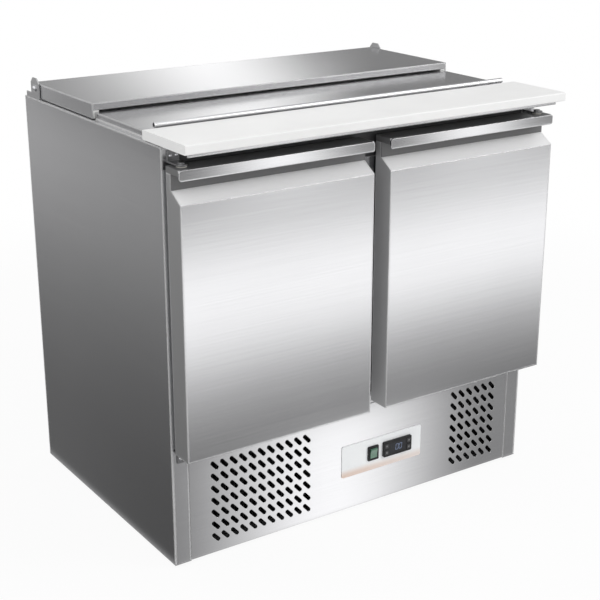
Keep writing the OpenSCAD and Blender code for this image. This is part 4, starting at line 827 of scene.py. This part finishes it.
# Studio cards that only the steel sees: a graded one on the floor, a striped one behind
floorCardLook = {
    "radius": 6.0, "lift": 0.002, "fan": (-1.513, -2.286), "behind": 0.8, "soft": (-0.02, 0.02),
    "doorsFade": (0.38, 1.16, 0.24, 0.88), "doorsStripe": (1.5, 0.12, 0.6), "doorsGlow": 0.85,
    "lipsTone": 0.2, "lipsGlow": 1.6, "lipsStripes": ((-0.235, 0.0, 0.2), (0.225, 0.0, 0.2)),
    "baseTone": 0.38, "baseGlow": 1.3, "baseStripe": (-0.065, 0.0, 0.42),
    "baseToDoors": (0.4, 0.5), "doorsToLips": (2.55, 2.75),
    "sideFade": (0.0, 1.5, 0.15, 0.55), "sideDrop": (1.68, 1.84, 1.0, 0.36),
    "sideSlant": (-0.3, 0.4, 0.78, 1.08), "sideToFront": (0.0, 0.3, 1.0, 0.0),
}
wallCardLook = {"y": 2.2, "x": (-0.6, 6.0), "z": (0.95, 5.0), "step": (1.31, 1.36, 0.0, 0.29),
                "rise": (0.32, 1.02, 0.4, 1.42), "fall": (1.02, 1.62, 1.0, 0.2)}


def stripe(value, middle, half, soft):  # 1 inside a soft-edged stripe, 0 outside
    return (value - middle).size().ranged(half, half + soft, 1.0, 0.0)


def fanned(value, away, reach, origin):  # stripes that spread out from one place, as a fan does
    share = away * (1.0 / reach)
    return (value + origin * share) / (1.0 + share)


def floorTone(place):
    look = floorCardLook
    x, y = place.axis("X"), place.axis("Y")
    fanX, fanY = look["fan"]
    face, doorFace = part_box("base_panel")[0].y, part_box("left_door_skin")[0].y
    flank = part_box("left_side_panel")[0].x
    ahead, left = face - y, flank - x
    doors = ahead.ranged(*look["doorsFade"]) + look["doorsGlow"] * stripe(ahead, *look["doorsStripe"])
    lipX = fanned(x, doorFace - y, doorFace - fanY, fanX)
    lips = look["lipsTone"]
    for lipStripe in look["lipsStripes"]:
        lips = lips + look["lipsGlow"] * stripe(lipX, *lipStripe)
    baseX = fanned(x, ahead, face - fanY, fanX)
    base = look["baseTone"] + look["baseGlow"] * stripe(baseX, *look["baseStripe"])
    upper = ahead.ranged(*look["doorsToLips"]).toward(doors, lips)
    front = ahead.ranged(*look["baseToDoors"]).toward(base, upper)
    plain = ahead.ranged(*look["soft"]).toward(look["behind"], front)
    sideY = fanned(y, left, flank - fanX, fanY)
    shade = left.ranged(*look["sideFade"]) * left.ranged(*look["sideDrop"])
    shade = shade * sideY.ranged(*look["sideSlant"])
    return (left.ranged(*look["soft"]) * ahead.ranged(*look["sideToFront"])).toward(plain, shade)


def wallTone(place):
    across = place.axis("X") - place.axis("Z").ranged(*wallCardLook["step"])
    return across.ranged(*wallCardLook["rise"]) * across.ranged(*wallCardLook["fall"])


def wallSheet(work):
    (x0, x1), (z0, z1) = wallCardLook["x"], wallCardLook["z"]
    corners = ((x0, z0), (x1, z0), (x1, z1), (x0, z1))
    work.faces.new([work.verts.new((x, wallCardLook["y"], z)) for x, z in corners])


def studioCard(name, shape, toneOf):
    material, _, place = startMaterial(name)
    glow = place.add("ShaderNodeEmission", {}, {"Color": toneOf(place), "Strength": 1.0})
    closeMaterial(place.tree, glow)
    card = stagePiece(name, meshFrom(name, shape, material))
    card.visible_camera = False
    card.visible_diffuse = False
    card.visible_transmission = False
    card.visible_shadow = False
    return card


studioCard("floorCard", disc(floorCardLook["radius"]), floorTone).location.z = floorCardLook["lift"]
studioCard("wallCard", wallSheet, wallTone)

lampLook = {
    "keyBox": {"at": (2.4, -2.6, 2.6), "aim": (0.0, 0.0, 0.45), "size": (1.8, 1.4), "power": 41.0},
    "topBox": {"at": (-0.3, -0.3, 3.2), "aim": (0.0, 0.0, 0.8), "size": (2.4, 1.6), "power": 10.0},
    "sideBox": {"at": (-2.8, -2.0, 1.6), "aim": (0.0, 0.0, 0.5), "size": (1.2, 1.8), "power": 9.0},
}
for name, look in lampLook.items():
    lamp = bpy.data.lights.new(name, "AREA")
    lamp.shape = "RECTANGLE"
    lamp.size, lamp.size_y = look["size"]
    lamp.energy = look["power"]
    holder = bpy.data.objects.new(name, lamp)
    holder.location = look["at"]
    holder.rotation_euler = aimedAlong(Vector(look["aim"]) - Vector(look["at"]))
    holder.visible_camera = False
    scene.collection.objects.link(holder)
print("studio set")

bpy.context.view_layer.update()
